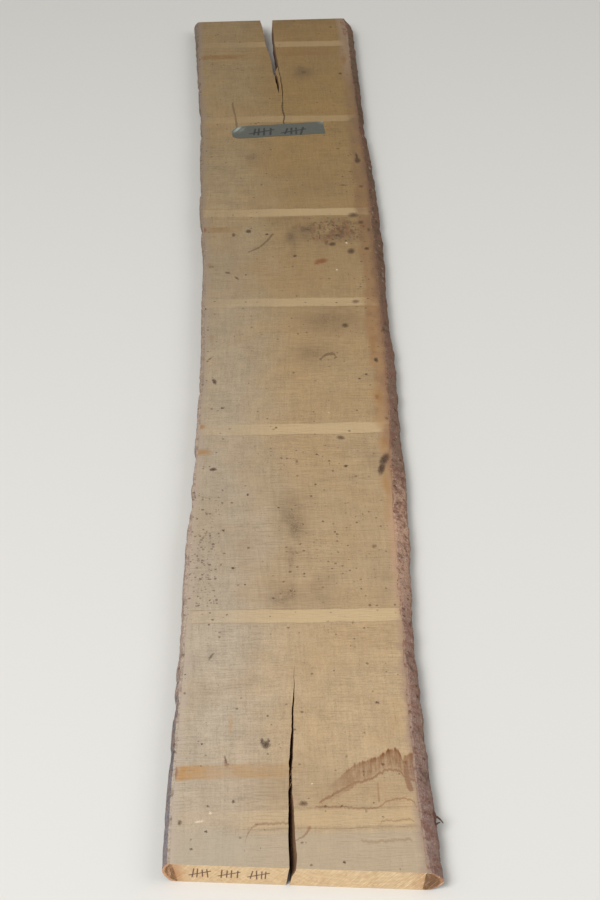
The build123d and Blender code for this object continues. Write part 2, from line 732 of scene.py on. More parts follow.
def specks_group() -> bpy.types.NodeTree:
    """Small specks of mould and dirt: ragged cells, kept where a density mask is high.

    Returns:
        The group.
    """
    graph, given, out = new_group(
        "Specks", {"Place": "Vector", "Spacing": "Float", "Density": "Float"}, {"Mask": "Float"}
    )
    share = graph.math("DIVIDE", 1.0, given["Spacing"])
    ragged, _ = graph.noise(given["Place"], graph.math("MULTIPLY", share, 4.0), 1.0)
    cells = graph.node("TexVoronoi")
    graph.feed(cells.inputs["Vector"], given["Place"])
    graph.feed(cells.inputs["Scale"], share)
    pick, size, tone = graph.split(cells.outputs["Color"])
    kept = graph.math("LESS_THAN", pick, given["Density"])
    reach = graph.math("MULTIPLY_ADD", graph.math("MULTIPLY", size, size), 0.34, 0.17)
    reach = graph.math("MULTIPLY_ADD", graph.math("SUBTRACT", ragged, 0.5), 0.7, reach)
    inside = graph.math("SUBTRACT", cells.outputs["Distance"], reach)
    strength = graph.math("MULTIPLY_ADD", tone, 0.6, 0.4)
    mask = graph.math("MULTIPLY", graph.ramp(inside, -0.1, 0.04, 1.0, 0.0), strength)
    graph.feed(out["Mask"], graph.math("MULTIPLY", mask, kept))
    return graph.tree


def mottle_group() -> bpy.types.NodeTree:
    """Cloudy dirt and fading: two layers of soft noise, one of them centred on nought.

    Returns:
        The group.
    """
    graph, given, out = new_group(
        "Mottle", {"Place": "Vector", "Size": "Float"}, {"Tone": "Float", "Patch": "Float"}
    )
    share = graph.math("DIVIDE", 1.0, given["Size"])
    soft, _ = graph.noise(given["Place"], share, 4.0, 0.62)
    patch, _ = graph.noise(given["Place"], graph.math("MULTIPLY", share, 0.35), 3.0, 0.6)
    graph.feed(out["Tone"], graph.ramp(soft, 0.3, 0.7, -1.0, 1.0))
    graph.feed(out["Patch"], graph.ramp(patch, 0.42, 0.62))
    return graph.tree


@dataclass(frozen=True)
class Effects:
    """The node groups that the finishes share."""

    saw_marks: bpy.types.NodeTree = field(default_factory=saw_marks_group)
    long_grain: bpy.types.NodeTree = field(default_factory=long_grain_group)
    specks: bpy.types.NodeTree = field(default_factory=specks_group)
    mottle: bpy.types.NodeTree = field(default_factory=mottle_group)


def start_material(name: str) -> tuple[bpy.types.Material, Graph, bpy.types.Node]:
    """Start a material.

    Args:
        name: the material's name.

    Returns:
        The material, its graph and its Principled BSDF.
    """
    material = bpy.data.materials.new(name)
    material.use_nodes = True
    return material, Graph(material.node_tree), material.node_tree.nodes["Principled BSDF"]


def add_bump(graph: Graph, surface: bpy.types.Node, height: Socket, depth: float) -> None:
    """Give a surface a bump.

    Args:
        graph: the material's graph.
        surface: its shader.
        height: the bump's height, as a share of the depth.
        depth: the depth, in metres.
    """
    bump = graph.node("Bump")
    for name, given in (("Strength", 1.0), ("Distance", depth), ("Height", height)):
        graph.feed(bump.inputs[name], given)
    graph.feed(surface.inputs["Normal"], bump.outputs[0])


# Finishes


@dataclass(frozen=True)
class Band:
    """A band across the board: its middle, width, strength, two ends and the softness of its rims."""

    y: float
    width: float
    strength: float
    left: float = -PAST_EDGE
    right: float = PAST_EDGE
    soft: float = 3.0


# Marks on the upper face, by X and Y in millimetres
SPACER_BANDS = (
    Band(-1143, 26, 0.5),
    Band(-782, 29, 0.95),
    Band(-350, 29, 0.8),
    Band(20, 28, 0.6, soft=4.0),
    Band(335, 29, 0.65, soft=4.0),
    Band(722, 29, 0.35, soft=5.0),
    Band(1088, 29, 0.4, soft=4.0),
)
AMBER_BANDS = (
    Band(-1064, 25, 0.85, right=-80),
    Band(-1064, 25, 0.42, right=20),
    Band(276, 22, 0.5, right=-60, soft=5.0),
    Band(1028, 26, 0.6, right=-40, soft=8.0),
    Band(1046, 46, 0.3, left=-30, right=150, soft=9.0),
)
SCORED_LINES = (
    Band(-1127, 1.4, 0.45, left=-60, soft=1.4),
    Band(-1159, 3.0, 0.35, left=-90, soft=2.0),
    Band(-796, 1.6, 0.5, soft=1.6),
    Band(-768, 2.2, 0.4, soft=2.0),
    Band(-662, 1.4, 0.4, soft=1.4),
    Band(-631, 1.2, 0.3, soft=1.4),
    Band(-601, 1.2, 0.5, soft=1.3),
    Band(-366, 1.6, 0.45, soft=1.6),
    Band(4, 1.6, 0.35, left=-60, soft=1.6),
    Band(313, 3.0, 0.3, soft=3.0),
    Band(351, 1.6, 0.4, soft=1.6),
)
SPOTS = (
    Spot(-37, -1021, 7, 8),
    Spot(-42, -1015, 2.8, 7, 0, 0.9),
    Spot(-33, -1015, 2.8, 7, 0, 0.8),
    Spot(84, 218, 5, 12, 10, 0.6),
    Spot(117, 262, 4, 14, -8, 0.6),
    Spot(74, 276, 4, 12, 0, 0.5),
    Spot(98, 281, 4, 6, 30, 0.7),
    Spot(164, 262, 4, 8, 0, 0.7),
    Spot(-116, -214, 4, 9, 14),
    Spot(-124, -148, 3, 9, -40, 0.7),
    Spot(155, -164, 4, 8),
    Spot(135, -205, 3, 3),
    Spot(123, -217, 2.5, 2.5),
    Spot(-101, -289, 3, 3),
    Spot(162, -329, 5, 6, 0, 0.6),
    Spot(-15, -345, 3, 2),
    Spot(-115, -449, 6, 4),
    Spot(-62, -514, 2.5, 3),
    Spot(90, -450, 4, 3.5),
    Spot(46, -418, 3, 2),
    Spot(43, -493, 2.5, 2),
    Spot(67, -606, 2.5, 2),
    Spot(124, -640, 6, 7, 0, 0.6),
    Spot(-83, -679, 3, 3),
    Spot(-97, -595, 2.5, 2.5),
    Spot(-61, 267, 6, 7),
    Spot(-87, 257, 4, 9, 0, 0.8),
    Spot(-26, 255, 4, 4),
    Spot(-97, 124, 7, 4, -30, 0.8),
    Spot(-81, 105, 3, 8, 35, 0.8),
    Spot(25, 174, 4, 4),
    Spot(152, 289, 7, 8, 0, 0.8),
    Spot(-135, 6, 4, 4),
    Spot(140, 929, 4, 5),
    Spot(-30, 922, 5, 4, 0, 0.5),
    Spot(128, 1174, 4, 5, 0, 0.8),
    Spot(-121, 820, 4, 5, 0, 0.5),
    Spot(120, 584, 6, 5, 0, 0.6),
    Spot(-110, -858, 2.5, 10, -25, 0.7),
    Spot(-87, -1045, 2.5, 10, 12, 0.7),
    Spot(-143, -1145, 3.5, 6, 0, 0.8),
    Spot(8, -1121, 7, 5, -12, 0.8),
    Spot(-80, -1115, 2, 3.5),
    Spot(-112, -1161, 2, 2),
    Spot(53, -1213, 2, 2.5),
    Spot(-127, -1187, 1.8, 2),
    Spot(-119, -1017, 2, 2),
    Spot(109, -952, 2.5, 2.5),
    Spot(124, 435, 11, 5, 0, 0.6),
    Spot(159, 428, 6, 7, 0, 0.7),
    Spot(106, 245, 7, 6, 0, 0.8),
    Spot(158, 195, 5, 6),
    Spot(-37, -77, 3, 3, 0, 0.6),
    Spot(141, 489, 5, 4, 0, 0.6),
    Spot(151, -435, 7.5, 17, -24),
    Spot(145, -457, 6, 19, -12),
    Spot(156, 550, 3, 17, 0),
    Spot(157, 535, 6.5, 13, 0),
    Spot(107, -59, 7, 9, 0, 0.8),
    Spot(86, -378, 9, 6, -30, 0.8),
    Spot(95, 213, 8, 8, 0, 0.9),
    Spot(129, 188, 9, 12, 0, 0.9),
    Spot(139, 318, 12, 12, 0, 0.8),
    Spot(130, 16, 9, 8, 0, 0.7),
    Spot(62, 942, 9, 13, 10, 0.5),
)
RUSTY_SPOTS = (
    Spot(-130, 150, 9, 14, 20, 0.4),
    Spot(74, 155, 13, 9, 25),
    Spot(66, 147, 6, 5, 0, 0.9),
    Spot(-87, -1052, 4, 10, 10, 0.6),
    Spot(-152, -1064, 5, 15, 0, 0.8),
    Spot(-122, 250, 10, 10, 0, 0.3),
    Spot(-146, 276, 8, 12, 0, 0.9),
    Spot(150, -270, 5, 10, 0, 0.6),
    Spot(155, 280, 7, 30, 0, 0.5),
    Spot(-108, 1027, 36, 11, 0, 0.3),
    Spot(-136, 1036, 17, 9, 0, 0.3),
    Spot(112, 240, 12, 18, 0, 0.3),
)
AMBER_SPOTS = (
    Spot(-134, -404, 22, 11, 0, 0.75),
    Spot(-138, -338, 11, 8, 0, 0.85),
    Spot(-124, -86, 9, 18, 0, 0.4),
    Spot(-83, -985, 6, 36, 0, 0.45),
    Spot(154, -270, 8, 34, 0, 0.6),
    Spot(150, -120, 8, 40, 0, 0.5),
    Spot(150, -500, 8, 34, 0, 0.6),
    Spot(154, -395, 8, 16, 0, 0.6),
    Spot(20, 500, 40, 26, 0, 0.25),
    Spot(150, 1000, 9, 44, 0, 0.5),
)
PALE_SPOTS = (
    Spot(100, 124, 3, 4, 20, 0.7),
    Spot(121, 217, 2.5, 4, 0, 0.8),
    Spot(-120, -1144, 7, 2, 15, 0.8),
    Spot(-107, -1131, 2, 3.5, 0, 0.8),
    Spot(20, -1089, 1.8, 1.8, 0, 0.9),
    Spot(-140, 204, 2, 2, 0, 0.8),
    Spot(70, -310, 2, 2, 0, 0.6),
    Spot(-146, -620, 3, 2, 20, 0.9),
)
GREY_AND_SHADE_PATCHES = (
    Spot(4, -560, 24, 70, 0, 0.3),
    Spot(8, -596, 9, 26, -20, 0.2),
    Spot(2, -680, 6, 60, 0, 0.24),
    Spot(-14, -744, 26, 26, 0, 0.34),
    Spot(44, -730, 20, 34, 0, 0.3),
    Spot(132, -716, 14, 48, 0, 0.3),
    Spot(136, -444, 13, 24, 0, 0.75),
    Spot(84, -40, 52, 40, 0, 0.4),
    Spot(54, -140, 36, 30, 0, 0.36),
    Spot(20, 236, 10, 56, 0, 0.5),
    Spot(6, 300, 30, 20, 0, 0.3),
    Spot(-52, 556, 26, 26, 0, 0.36),
    Spot(108, 262, 62, 50, 0, 0.5),
    Spot(44, 270, 14, 44, 0, 0.4),
    # The patches from here on are broad; the two at the far end, at Y 1245 and 1260, are painted shade of
    # light falling off towards it.
    Spot(0, -620, 300, 150, 0, 0.1),
    Spot(10, -1096, 90, 40, 0, 0.22),
    Spot(0, 1260, 400, 300, 0, 0.16),
    Spot(40, 1245, 260, 95, 0, 0.14),
    Spot(56, 946, 30, 40, 0, 0.4),
    Spot(90, 450, 90, 70, 0, 0.16),
    Spot(60, 120, 150, 120, 0, 0.08),
    Spot(-120, 120, 60, 90, 0, 0.1),
)
SPECK_FIELDS = (
    Spot(-126, -655, 23, 120, 0, 0.95),
    Spot(100, 262, 46, 42, 0, 0.95),
    Spot(-130, -100, 16, 120, 0, 0.25),
    Spot(40, -420, 120, 30, 0, 0.12),
    Spot(150, 300, 10, 300, 0, 0.2),
    Spot(70, -650, 90, 120, 0, 0.16),
)
CHECKS = (
    Trace(((12.6, 800), (12, 770), (13.4, 735), (14, 696)), 1.5, 1.0),
    Trace(((-94, 802), (-91, 762), (-87, 735), (-84, 690)), 2.0, 0.55),
    Trace(((-144, -498), (-142, -508), (-140, -519)), 0.9, 0.8),
    Trace(((-177, 1104), (-176, 1150), (-178, 1225)), 1.3, 0.7),
    Trace(((62, -158), (70, -146), (80, -143), (86, -152)), 4.2, 0.55),
    Trace(((-60, 194), (-42, 208), (-26, 230), (-14, 256)), 3.0, 0.55),
)
TIDE_LINES = (
    Trace(((24, -1126), (52, -1127), (93, -1131), (111, -1121), (129, -1117), (147, -1131)), 1.2, 0.5),
    Trace(((102, -1157), (109, -1151), (120, -1152), (130, -1150), (142, -1153)), 1.1, 0.45),
    Trace(((78, -1182), (104, -1183), (125, -1181), (137, -1182)), 2.0, 0.3),
    Trace(((-64, -1190), (-59, -1162), (-50, -1152), (-36, -1150), (-6, -1151)), 1.8, 0.4),
    Trace(((-4, -1178), (7, -1171), (13, -1163), (15, -1157)), 1.8, 0.5),
    Trace(((102, -1090), (102, -1121)), 0.9, 0.45),
    Trace(((145, -1046), (139, -1068), (143, -1104)), 3.4, 0.55),
    Trace(((30, -1118), (44, -1108), (60, -1098), (74, -1088)), 2.4, 0.5),
)
STAIN_TOP = (
    (30, -1110), (52, -1082), (67, -1066), (79, -1056), (94, -1050), (107, -1045), (116, -1038),
    (127, -1034), (134, -1044), (139, -1056), (145, -1042), (150, -1046), (156, -1064),
)
STAIN_LOW = (
    (30, -1122), (57, -1104), (70, -1095), (77, -1088), (90, -1085), (99, -1080), (107, -1073),
    (122, -1069), (130, -1072), (136, -1080), (145, -1086), (156, -1094),
)
SAPWOOD = (
    (-900.0, srgb(182, 144, 112)),
    (-400.0, srgb(168, 130, 92)),
    (-100.0, srgb(150, 112, 76)),
    (350.0, srgb(128, 98, 70)),
    (850.0, srgb(132, 106, 78)),
    (980.0, srgb(148, 124, 102)),
)
RIGHT_RIM = (
    (-1180.0, srgb(162, 138, 122)),
    (-900.0, srgb(164, 136, 116)),
    (-600.0, srgb(188, 152, 124)),
    (-420.0, srgb(148, 114, 88)),
    (250.0, srgb(122, 94, 70)),
    (850.0, srgb(126, 100, 76)),
    (1000.0, srgb(150, 126, 102)),
)
LEFT_RIM = (
    (-1100.0, srgb(184, 168, 150)),
    (-600.0, srgb(180, 160, 142)),
    (-100.0, srgb(160, 142, 124)),
    (500.0, srgb(144, 126, 106)),
)


@dataclass(frozen=True)
class SawnFinish:
    """Rough-sawn, weathered face of the board, with its stains and marks."""

    name: str
    near_left: Colour = srgb(180, 164, 143)
    near_right: Colour = srgb(184, 158, 124)
    # The far colours are darker partly as painted shade of light falling off towards the far end.
    far_left: Colour = srgb(146, 125, 92)
    far_right: Colour = srgb(141, 115, 75)
    faded: Colour = srgb(178, 164, 143)
    knot: Colour = srgb(66, 48, 38)
    grey: Colour = srgb(96, 78, 62)
    stain: Colour = srgb(120, 72, 38)
    rust: Colour = srgb(128, 78, 48)
    amber_near: Colour = srgb(178, 132, 76)
    amber_far: Colour = srgb(130, 92, 54)
    fresh: Colour = srgb(204, 178, 138)
    pale: Colour = srgb(226, 208, 180)
    marked: bool = True

    def band_mask(self, graph: Graph, x: Socket, y: Socket, bands: tuple[Band, ...]) -> Socket:
        """Mask of all bands: how far a point lies inside each band's width and its two ends.

        Args:
            graph: the material's graph.
            x: place across the board.
            y: place along the board.
            bands: the bands.

        Returns:
            The strength of whichever band is strongest there.
        """
        total: Value = 0.0
        for band in bands:
            inside = graph.math("ABSOLUTE", graph.math("SUBTRACT", y, band.y))
            inner, outer = (band.width - 1.6 * band.soft) / 2, (band.width + 0.6 * band.soft) / 2
            mask = graph.ramp(inside, inner, outer, band.strength, 0.0)
            if band.right < PAST_EDGE:
                before = graph.ramp(x, band.right - BAND_FADE, band.right, 1.0, 0.0)
                mask = graph.math("MULTIPLY", mask, before)
            if band.left > -PAST_EDGE:
                past = graph.ramp(x, band.left, band.left + BAND_FADE)
                mask = graph.math("MULTIPLY", mask, past)
            total = graph.math("MAXIMUM", total, mask)
        return total

    def material(self, effects: Effects) -> bpy.types.Material:
        """Build the finish as a material.

        Args:
            effects: the shared node groups.

        Returns:
            The material.
        """
        material, graph, surface = start_material(self.name)
        place = graph.millimetres()
        x, y, _ = graph.split(place)
        warp, shake = graph.noise(place, 0.02, 3.0)
        drawn = graph.vector("MULTIPLY", place, (0.55, 0.45, 0.55))
        fuzz, crumbs = graph.noise(drawn, 1.0, 2.0, 0.7)
        saw = graph.group(effects.saw_marks, Place=place, Pitch=4.6, Slant=0.012, Fade=0.5)
        grain = graph.group(effects.long_grain, Place=place, Stretch=60.0)
        mottle = graph.group(effects.mottle, Place=place, Size=38.0)

        side = graph.ramp(graph.math("MULTIPLY_ADD", warp, 80.0, x), -70.0, 75.0)
        near = graph.mix(side, self.near_left, self.near_right)
        far = graph.mix(side, self.far_left, self.far_right)
        # Painted shade in part: the face darkens from the near end towards the far end, partly the wood's own
        # colour and partly light falling off with distance.
        colour = graph.mix(graph.ramp(y, -1150.0, 900.0), near, far)

        amount = graph.math("MULTIPLY", saw["Tone"], graph.ramp(y, -1180.0, -1120.0, 0.04, 0.09))
        shares = (grain["Fibre"], 0.045), (grain["Ring"], 0.025), (mottle["Tone"], 0.075)
        for tone, share in (*shares, (graph.ramp(fuzz, 0.28, 0.72, -1.0, 1.0), 0.13)):
            amount = graph.math("MULTIPLY_ADD", tone, share, amount)
        colour = graph.shade(colour, amount)
        colour = graph.mix(graph.math("MULTIPLY", mottle["Patch"], 0.1), colour, self.amber_near)
        colour = graph.mix(graph.math("MULTIPLY", grain["Pore"], 0.24), colour, self.knot)
        if self.marked:
            colour = self.weathered(graph, x, y, warp, mottle["Tone"], fuzz, colour)
            colour = self.edged(graph, x, y, warp, mottle["Tone"], colour)
            colour = self.stained(graph, place, colour)
            colour = self.spotted(graph, effects, place, (shake, crumbs), fuzz, colour)

        graph.feed(surface.inputs["Base Color"], colour)
        graph.feed(surface.inputs["Roughness"], graph.math("MULTIPLY_ADD", mottle["Tone"], 0.06, 0.84))
        surface.inputs["Specular IOR Level"].default_value = 0.25
        add_bump(graph, surface, graph.math("MULTIPLY_ADD", grain["Fibre"], 0.18, saw["Tone"]), 0.0003)
        return material

    def amber(self, graph: Graph, y: Socket) -> Socket:
        """Resin colour, which darkens towards the far end as the wood does, partly as painted shade of light
        falling off there.
        """
        return graph.blend(y, ((-900.0, self.amber_near), (200.0, self.amber_far)))

    def weathered(
        self,
        graph: Graph,
        x: Socket,
        y: Socket,
        warp: Socket,
        tone: Socket,
        fuzz: Socket,
        colour: Socket,
    ) -> Socket:
        """Lay the bands, the grey patches with their painted shade, and the faded near end on a colour.

        Args:
            graph: the material's graph.
            x: place across the board.
            y: place along the board.
            warp: a slow noise that bends the bands.
            tone: a mottled tone that breaks up the patches.
            fuzz: a fine noise that gives them a grain.
            colour: the colour under them.

        Returns:
            The new colour.
        """
        ragged = graph.math("MULTIPLY_ADD", graph.math("SUBTRACT", warp, 0.5), 7.0, y)
        ragged = graph.math("MULTIPLY_ADD", tone, 0.8, ragged)
        tilted = graph.math("MULTIPLY_ADD", x, 0.02, ragged)
        colour = graph.mix(graph.ramp(tilted, -1172.0, -1156.0, 0.55, 0.0), colour, self.faded)
        broken = graph.ramp(graph.math("MULTIPLY_ADD", tone, 0.2, warp), 0.25, 0.75, 0.2, 1.2)
        broken = graph.math("MULTIPLY", broken, graph.ramp(fuzz, 0.3, 0.66, 0.45, 1.5))
        # Grey patches from the stored field; its broad ones at the far end are painted shade.
        colour = graph.mix(graph.math("MULTIPLY", graph.attribute("grey"), broken), colour, self.grey)
        fresh = self.band_mask(graph, x, tilted, SPACER_BANDS)
        fresh = graph.math("MULTIPLY", fresh, graph.ramp(x, -130.0, 40.0, 0.3, 1.0))
        colour = graph.mix(graph.math("MULTIPLY", fresh, 0.75), colour, self.fresh)
        patchy = graph.ramp(tone, -1.0, 0.6, 0.45, 1.0)
        amber = graph.math("MULTIPLY", self.band_mask(graph, x, ragged, AMBER_BANDS), patchy)
        colour = graph.mix(amber, colour, self.amber(graph, y))
        scored = graph.math("MULTIPLY", self.band_mask(graph, x, tilted, SCORED_LINES), patchy)
        return graph.mix(scored, colour, self.grey)

    def stained(self, graph: Graph, place: Socket, colour: Socket) -> Socket:
        """Lay the water stain on a colour: a jagged, streaky brown band above a dark tide line.

        Args:
            graph: the material's graph.
            place: the point, in millimetres.
            colour: the colour under the stain.

        Returns:
            The new colour.
        """
        streak, _ = graph.noise(graph.vector("MULTIPLY", place, (0.24, 0.03, 0.1)), 1.0, 3.0, 0.65)
        x, y, _ = graph.split(place)
        shaken = graph.math("MULTIPLY_ADD", graph.math("SUBTRACT", streak, 0.5), 16.0, y)
        over = graph.math("SUBTRACT", shaken, graph.curve(x, STAIN_LOW))
        under = graph.math("SUBTRACT", shaken, graph.curve(x, STAIN_TOP))
        side = graph.ramp(x, 24.0, 96.0)
        lower, upper = graph.ramp(over, -3.0, 9.0), graph.ramp(under, -2.5, 2.0, 1.0, 0.0)
        stain = graph.math("MULTIPLY", lower, upper)
        body = graph.math("MULTIPLY", graph.ramp(streak, 0.32, 0.62, 0.7, 0.26), stain)
        rim = graph.math("MULTIPLY", graph.ramp(under, -13.0, -2.0, 0.0, 0.3), stain)
        strength = graph.math("MULTIPLY", graph.math("ADD", body, rim), side)
        tide = graph.ramp(graph.math("ABSOLUTE", over), 0.4, 4.2, 0.58, 0.0)
        strength = graph.math("MAXIMUM", strength, graph.math("MULTIPLY", tide, side))
        wavy = graph.math("MULTIPLY_ADD", graph.math("SUBTRACT", streak, 0.5), 9.0, y)
        lines = graph.traces(x, wavy, TIDE_LINES, 1.3)
        return graph.mix(graph.math("MAXIMUM", strength, lines), colour, self.stain)

    def edged(
        self, graph: Graph, x: Socket, y: Socket, warp: Socket, tone: Socket, colour: Socket
    ) -> Socket:
        """Lay the warm sapwood strip along the right edge, and the rims beside the bark.

        Args:
            graph: the material's graph.
            x: place across the board.
            y: place along the board.
            warp: a slow noise that bends the strip's inner line.
            tone: a mottled tone that varies the strip.
            colour: the colour under the strips.

        Returns:
            The new colour.
        """
        bent = graph.math("MULTIPLY_ADD", graph.math("SUBTRACT", warp, 0.5), 26.0, x)
        bent = graph.math("MULTIPLY_ADD", tone, 3.6, bent)
        start = graph.ramp(y, -820.0, -480.0, 0.0, 0.85)
        strip = graph.math("MULTIPLY", graph.ramp(bent, 138.0, 152.0), start)
        sap = graph.blend(y, SAPWOOD)
        sap = graph.mix(graph.ramp(tone, 0.0, 1.0, 0.0, 0.45), sap, self.amber(graph, y))
        sap = graph.mix(graph.ramp(tone, -1.0, -0.35, 0.4, 0.0), sap, self.grey)
        strip = graph.math("MULTIPLY", strip, graph.ramp(tone, -1.0, 0.8, 0.95, 0.65))
        colour = graph.mix(strip, colour, sap)
        spread = graph.math("MULTIPLY_ADD", tone, 4.0, graph.attribute("rim"))
        rims = graph.blend(y, LEFT_RIM), graph.blend(y, RIGHT_RIM)
        rim = graph.mix(graph.ramp(x, -80.0, 80.0), *rims)
        return graph.mix(graph.ramp(spread, 0.0, 12.0, 0.75, 0.0), colour, rim)

    def spotted(
        self,
        graph: Graph,
        effects: Effects,
        place: Socket,
        shakes: tuple[Socket, Socket],
        fuzz: Socket,
        colour: Socket,
    ) -> Socket:
        """Lay amber and rusty spots, dark spots, specks and checks on a colour.

        Args:
            graph: the material's graph.
            effects: the shared node groups.
            place: the point, in millimetres.
            shakes: a slow and a fine noise colour that bend the marks' outlines.
            fuzz: a fine noise whose peaks are dark dots.
            colour: the colour under the marks.

        Returns:
            The new colour.
        """
        slow, fine = shakes
        offset = graph.vector("MULTIPLY_ADD", slow, (9.0, 9.0, 0.0), (-8.0, -8.0, 0.0))
        offset = graph.vector("MULTIPLY_ADD", fine, (7.0, 7.0, 0.0), offset)
        x, y, _ = graph.split(graph.vector("ADD", place, offset))
        worn = graph.ramp(fuzz, 0.3, 0.6, 0.6, 0.95)
        amber = graph.math("MULTIPLY", graph.spots(x, y, AMBER_SPOTS), worn)
        colour = graph.mix(amber, colour, self.amber(graph, y))
        rusty = graph.math("MULTIPLY", graph.spots(x, y, RUSTY_SPOTS), worn)
        colour = graph.mix(rusty, colour, self.rust)
        density = graph.attribute("specks")
        blots, tints = graph.noise(graph.vector("MULTIPLY", place, (0.13, 0.05, 0.13)), 1.0, 3.0, 0.6)
        blotted = graph.math("MULTIPLY", graph.ramp(density, 0.15, 0.8), graph.ramp(x, 10.0, 60.0))
        dark = graph.math("MULTIPLY", graph.ramp(blots, 0.48, 0.62, 0.0, 0.6), blotted)
        colour = graph.mix(dark, colour, self.grey)
        _, red, _ = graph.split(tints)
        red = graph.math("MULTIPLY", graph.ramp(red, 0.5, 0.62, 0.0, 0.4), blotted)
        colour = graph.mix(red, colour, self.rust)
        speck = graph.group(effects.specks, Place=place, Spacing=5.0, Density=density)
        dots = graph.ramp(fuzz, 0.62, 0.74, 0.0, 0.34)
        total = graph.math("MAXIMUM", speck["Mask"], dots)
        total = graph.math("MAXIMUM", total, graph.spots(x, y, SPOTS))
        total = graph.math("MAXIMUM", total, graph.traces(x, y, CHECKS))
        total = graph.math("MULTIPLY", total, graph.ramp(fuzz, 0.25, 0.55, 0.6, 0.92))
        colour = graph.mix(total, colour, self.knot)
        return graph.mix(graph.spots(x, y, PALE_SPOTS), colour, self.pale)


@dataclass(frozen=True)
class EndGrainFinish:
    """Crosscut end of the board: growth rings round a far-off heart, and the saw's scratches."""

    name: str
    pale: Colour = srgb(228, 200, 160)
    dark: Colour = srgb(204, 168, 124)
    tinge: Colour = srgb(188, 134, 92)
    glint: Colour = srgb(240, 216, 176)
    ink: Colour = srgb(84, 54, 54)
    strokes: tuple[Trace, ...] = ()
    ring_centre: Place = (60.0, 190.0)

    def material(self, effects: Effects) -> bpy.types.Material:
        """Build the finish as a material.

        Args:
            effects: the shared node groups.

        Returns:
            The material.
        """
        material, graph, surface = start_material(self.name)
        place = graph.millimetres()
        x, _, z = graph.split(place)
        across = graph.math("SUBTRACT", x, self.ring_centre[0])
        down = graph.math("SUBTRACT", z, self.ring_centre[1])
        reach = graph.math("SQRT", graph.squares(across, down))
        wobble, _ = graph.noise(place, 0.03, 2.0)
        wavy = graph.math("MULTIPLY_ADD", wobble, 16.0, reach)
        rings, _ = graph.noise(graph.combine(wavy, 0.0), 0.3, 2.0, 0.6)
        slanted = graph.math("MULTIPLY_ADD", z, -0.8, x)
        leaning = graph.combine(slanted, graph.math("MULTIPLY", z, 0.1))
        scratch, _ = graph.noise(leaning, 0.5, 3.0, 0.7)
        mottle = graph.group(effects.mottle, Place=place, Size=9.0)
        pores = graph.group(effects.specks, Place=place, Spacing=2.6, Density=0.4)
        colour = graph.mix(graph.ramp(rings, 0.36, 0.68, 0.0, 0.4), self.pale, self.dark)
        colour = graph.mix(graph.ramp(mottle["Tone"], -0.4, 1.2, 0.0, 0.5), colour, self.dark)
        outer = graph.math("MULTIPLY_ADD", wobble, 24.0, graph.math("ABSOLUTE", x))
        colour = graph.mix(graph.ramp(outer, 140.0, 168.0, 0.0, 0.85), colour, self.tinge)
        # Painted highlight: pale glinting streaks along the saw's scratches, stronger towards the right.
        shine = graph.ramp(x, 20.0, 90.0, 0.25, 0.8)
        shine = graph.math("MULTIPLY", shine, graph.ramp(scratch, 0.54, 0.66))
        colour = graph.mix(shine, colour, self.glint)
        amount = graph.math("MULTIPLY", graph.ramp(scratch, 0.3, 0.7, -1.0, 1.0), 0.09)
        amount = graph.math("MULTIPLY_ADD", pores["Mask"], -0.16, amount)
        colour = graph.shade(colour, amount)
        if self.strokes:
            colour = graph.mix(graph.traces(x, z, self.strokes, 0.5), colour, self.ink)
        graph.feed(surface.inputs["Base Color"], colour)
        surface.inputs["Roughness"].default_value = 0.85
        surface.inputs["Specular IOR Level"].default_value = 0.25
        add_bump(graph, surface, scratch, 0.0004)
        return material


@dataclass(frozen=True)
class SplitFinish:
    """Torn wood inside a split: fibres along the board, with painted shade darkening it towards the bottom.
    """

    name: str
    wood: Colour = srgb(160, 122, 86)
    dark: Colour = srgb(92, 64, 46)

    def material(self, effects: Effects) -> bpy.types.Material:
        """Build the finish as a material.

        Args:
            effects: the shared node groups.

        Returns:
            The material.
        """
        material, graph, surface = start_material(self.name)
        place = graph.millimetres()
        _, _, z = graph.split(place)
        grain = graph.group(effects.long_grain, Place=place, Stretch=40.0)
        # Painted shade: the wood turns towards the dark colour deeper down.
        deep = graph.ramp(z, 4.0, 31.0, 0.85, 0.1)
        colour = graph.mix(graph.math("MULTIPLY_ADD", grain["Fibre"], 0.25, deep), self.wood, self.dark)
        graph.feed(surface.inputs["Base Color"], colour)
        surface.inputs["Roughness"].default_value = 0.9
        add_bump(graph, surface, grain["Fibre"], 0.0008)
        return material


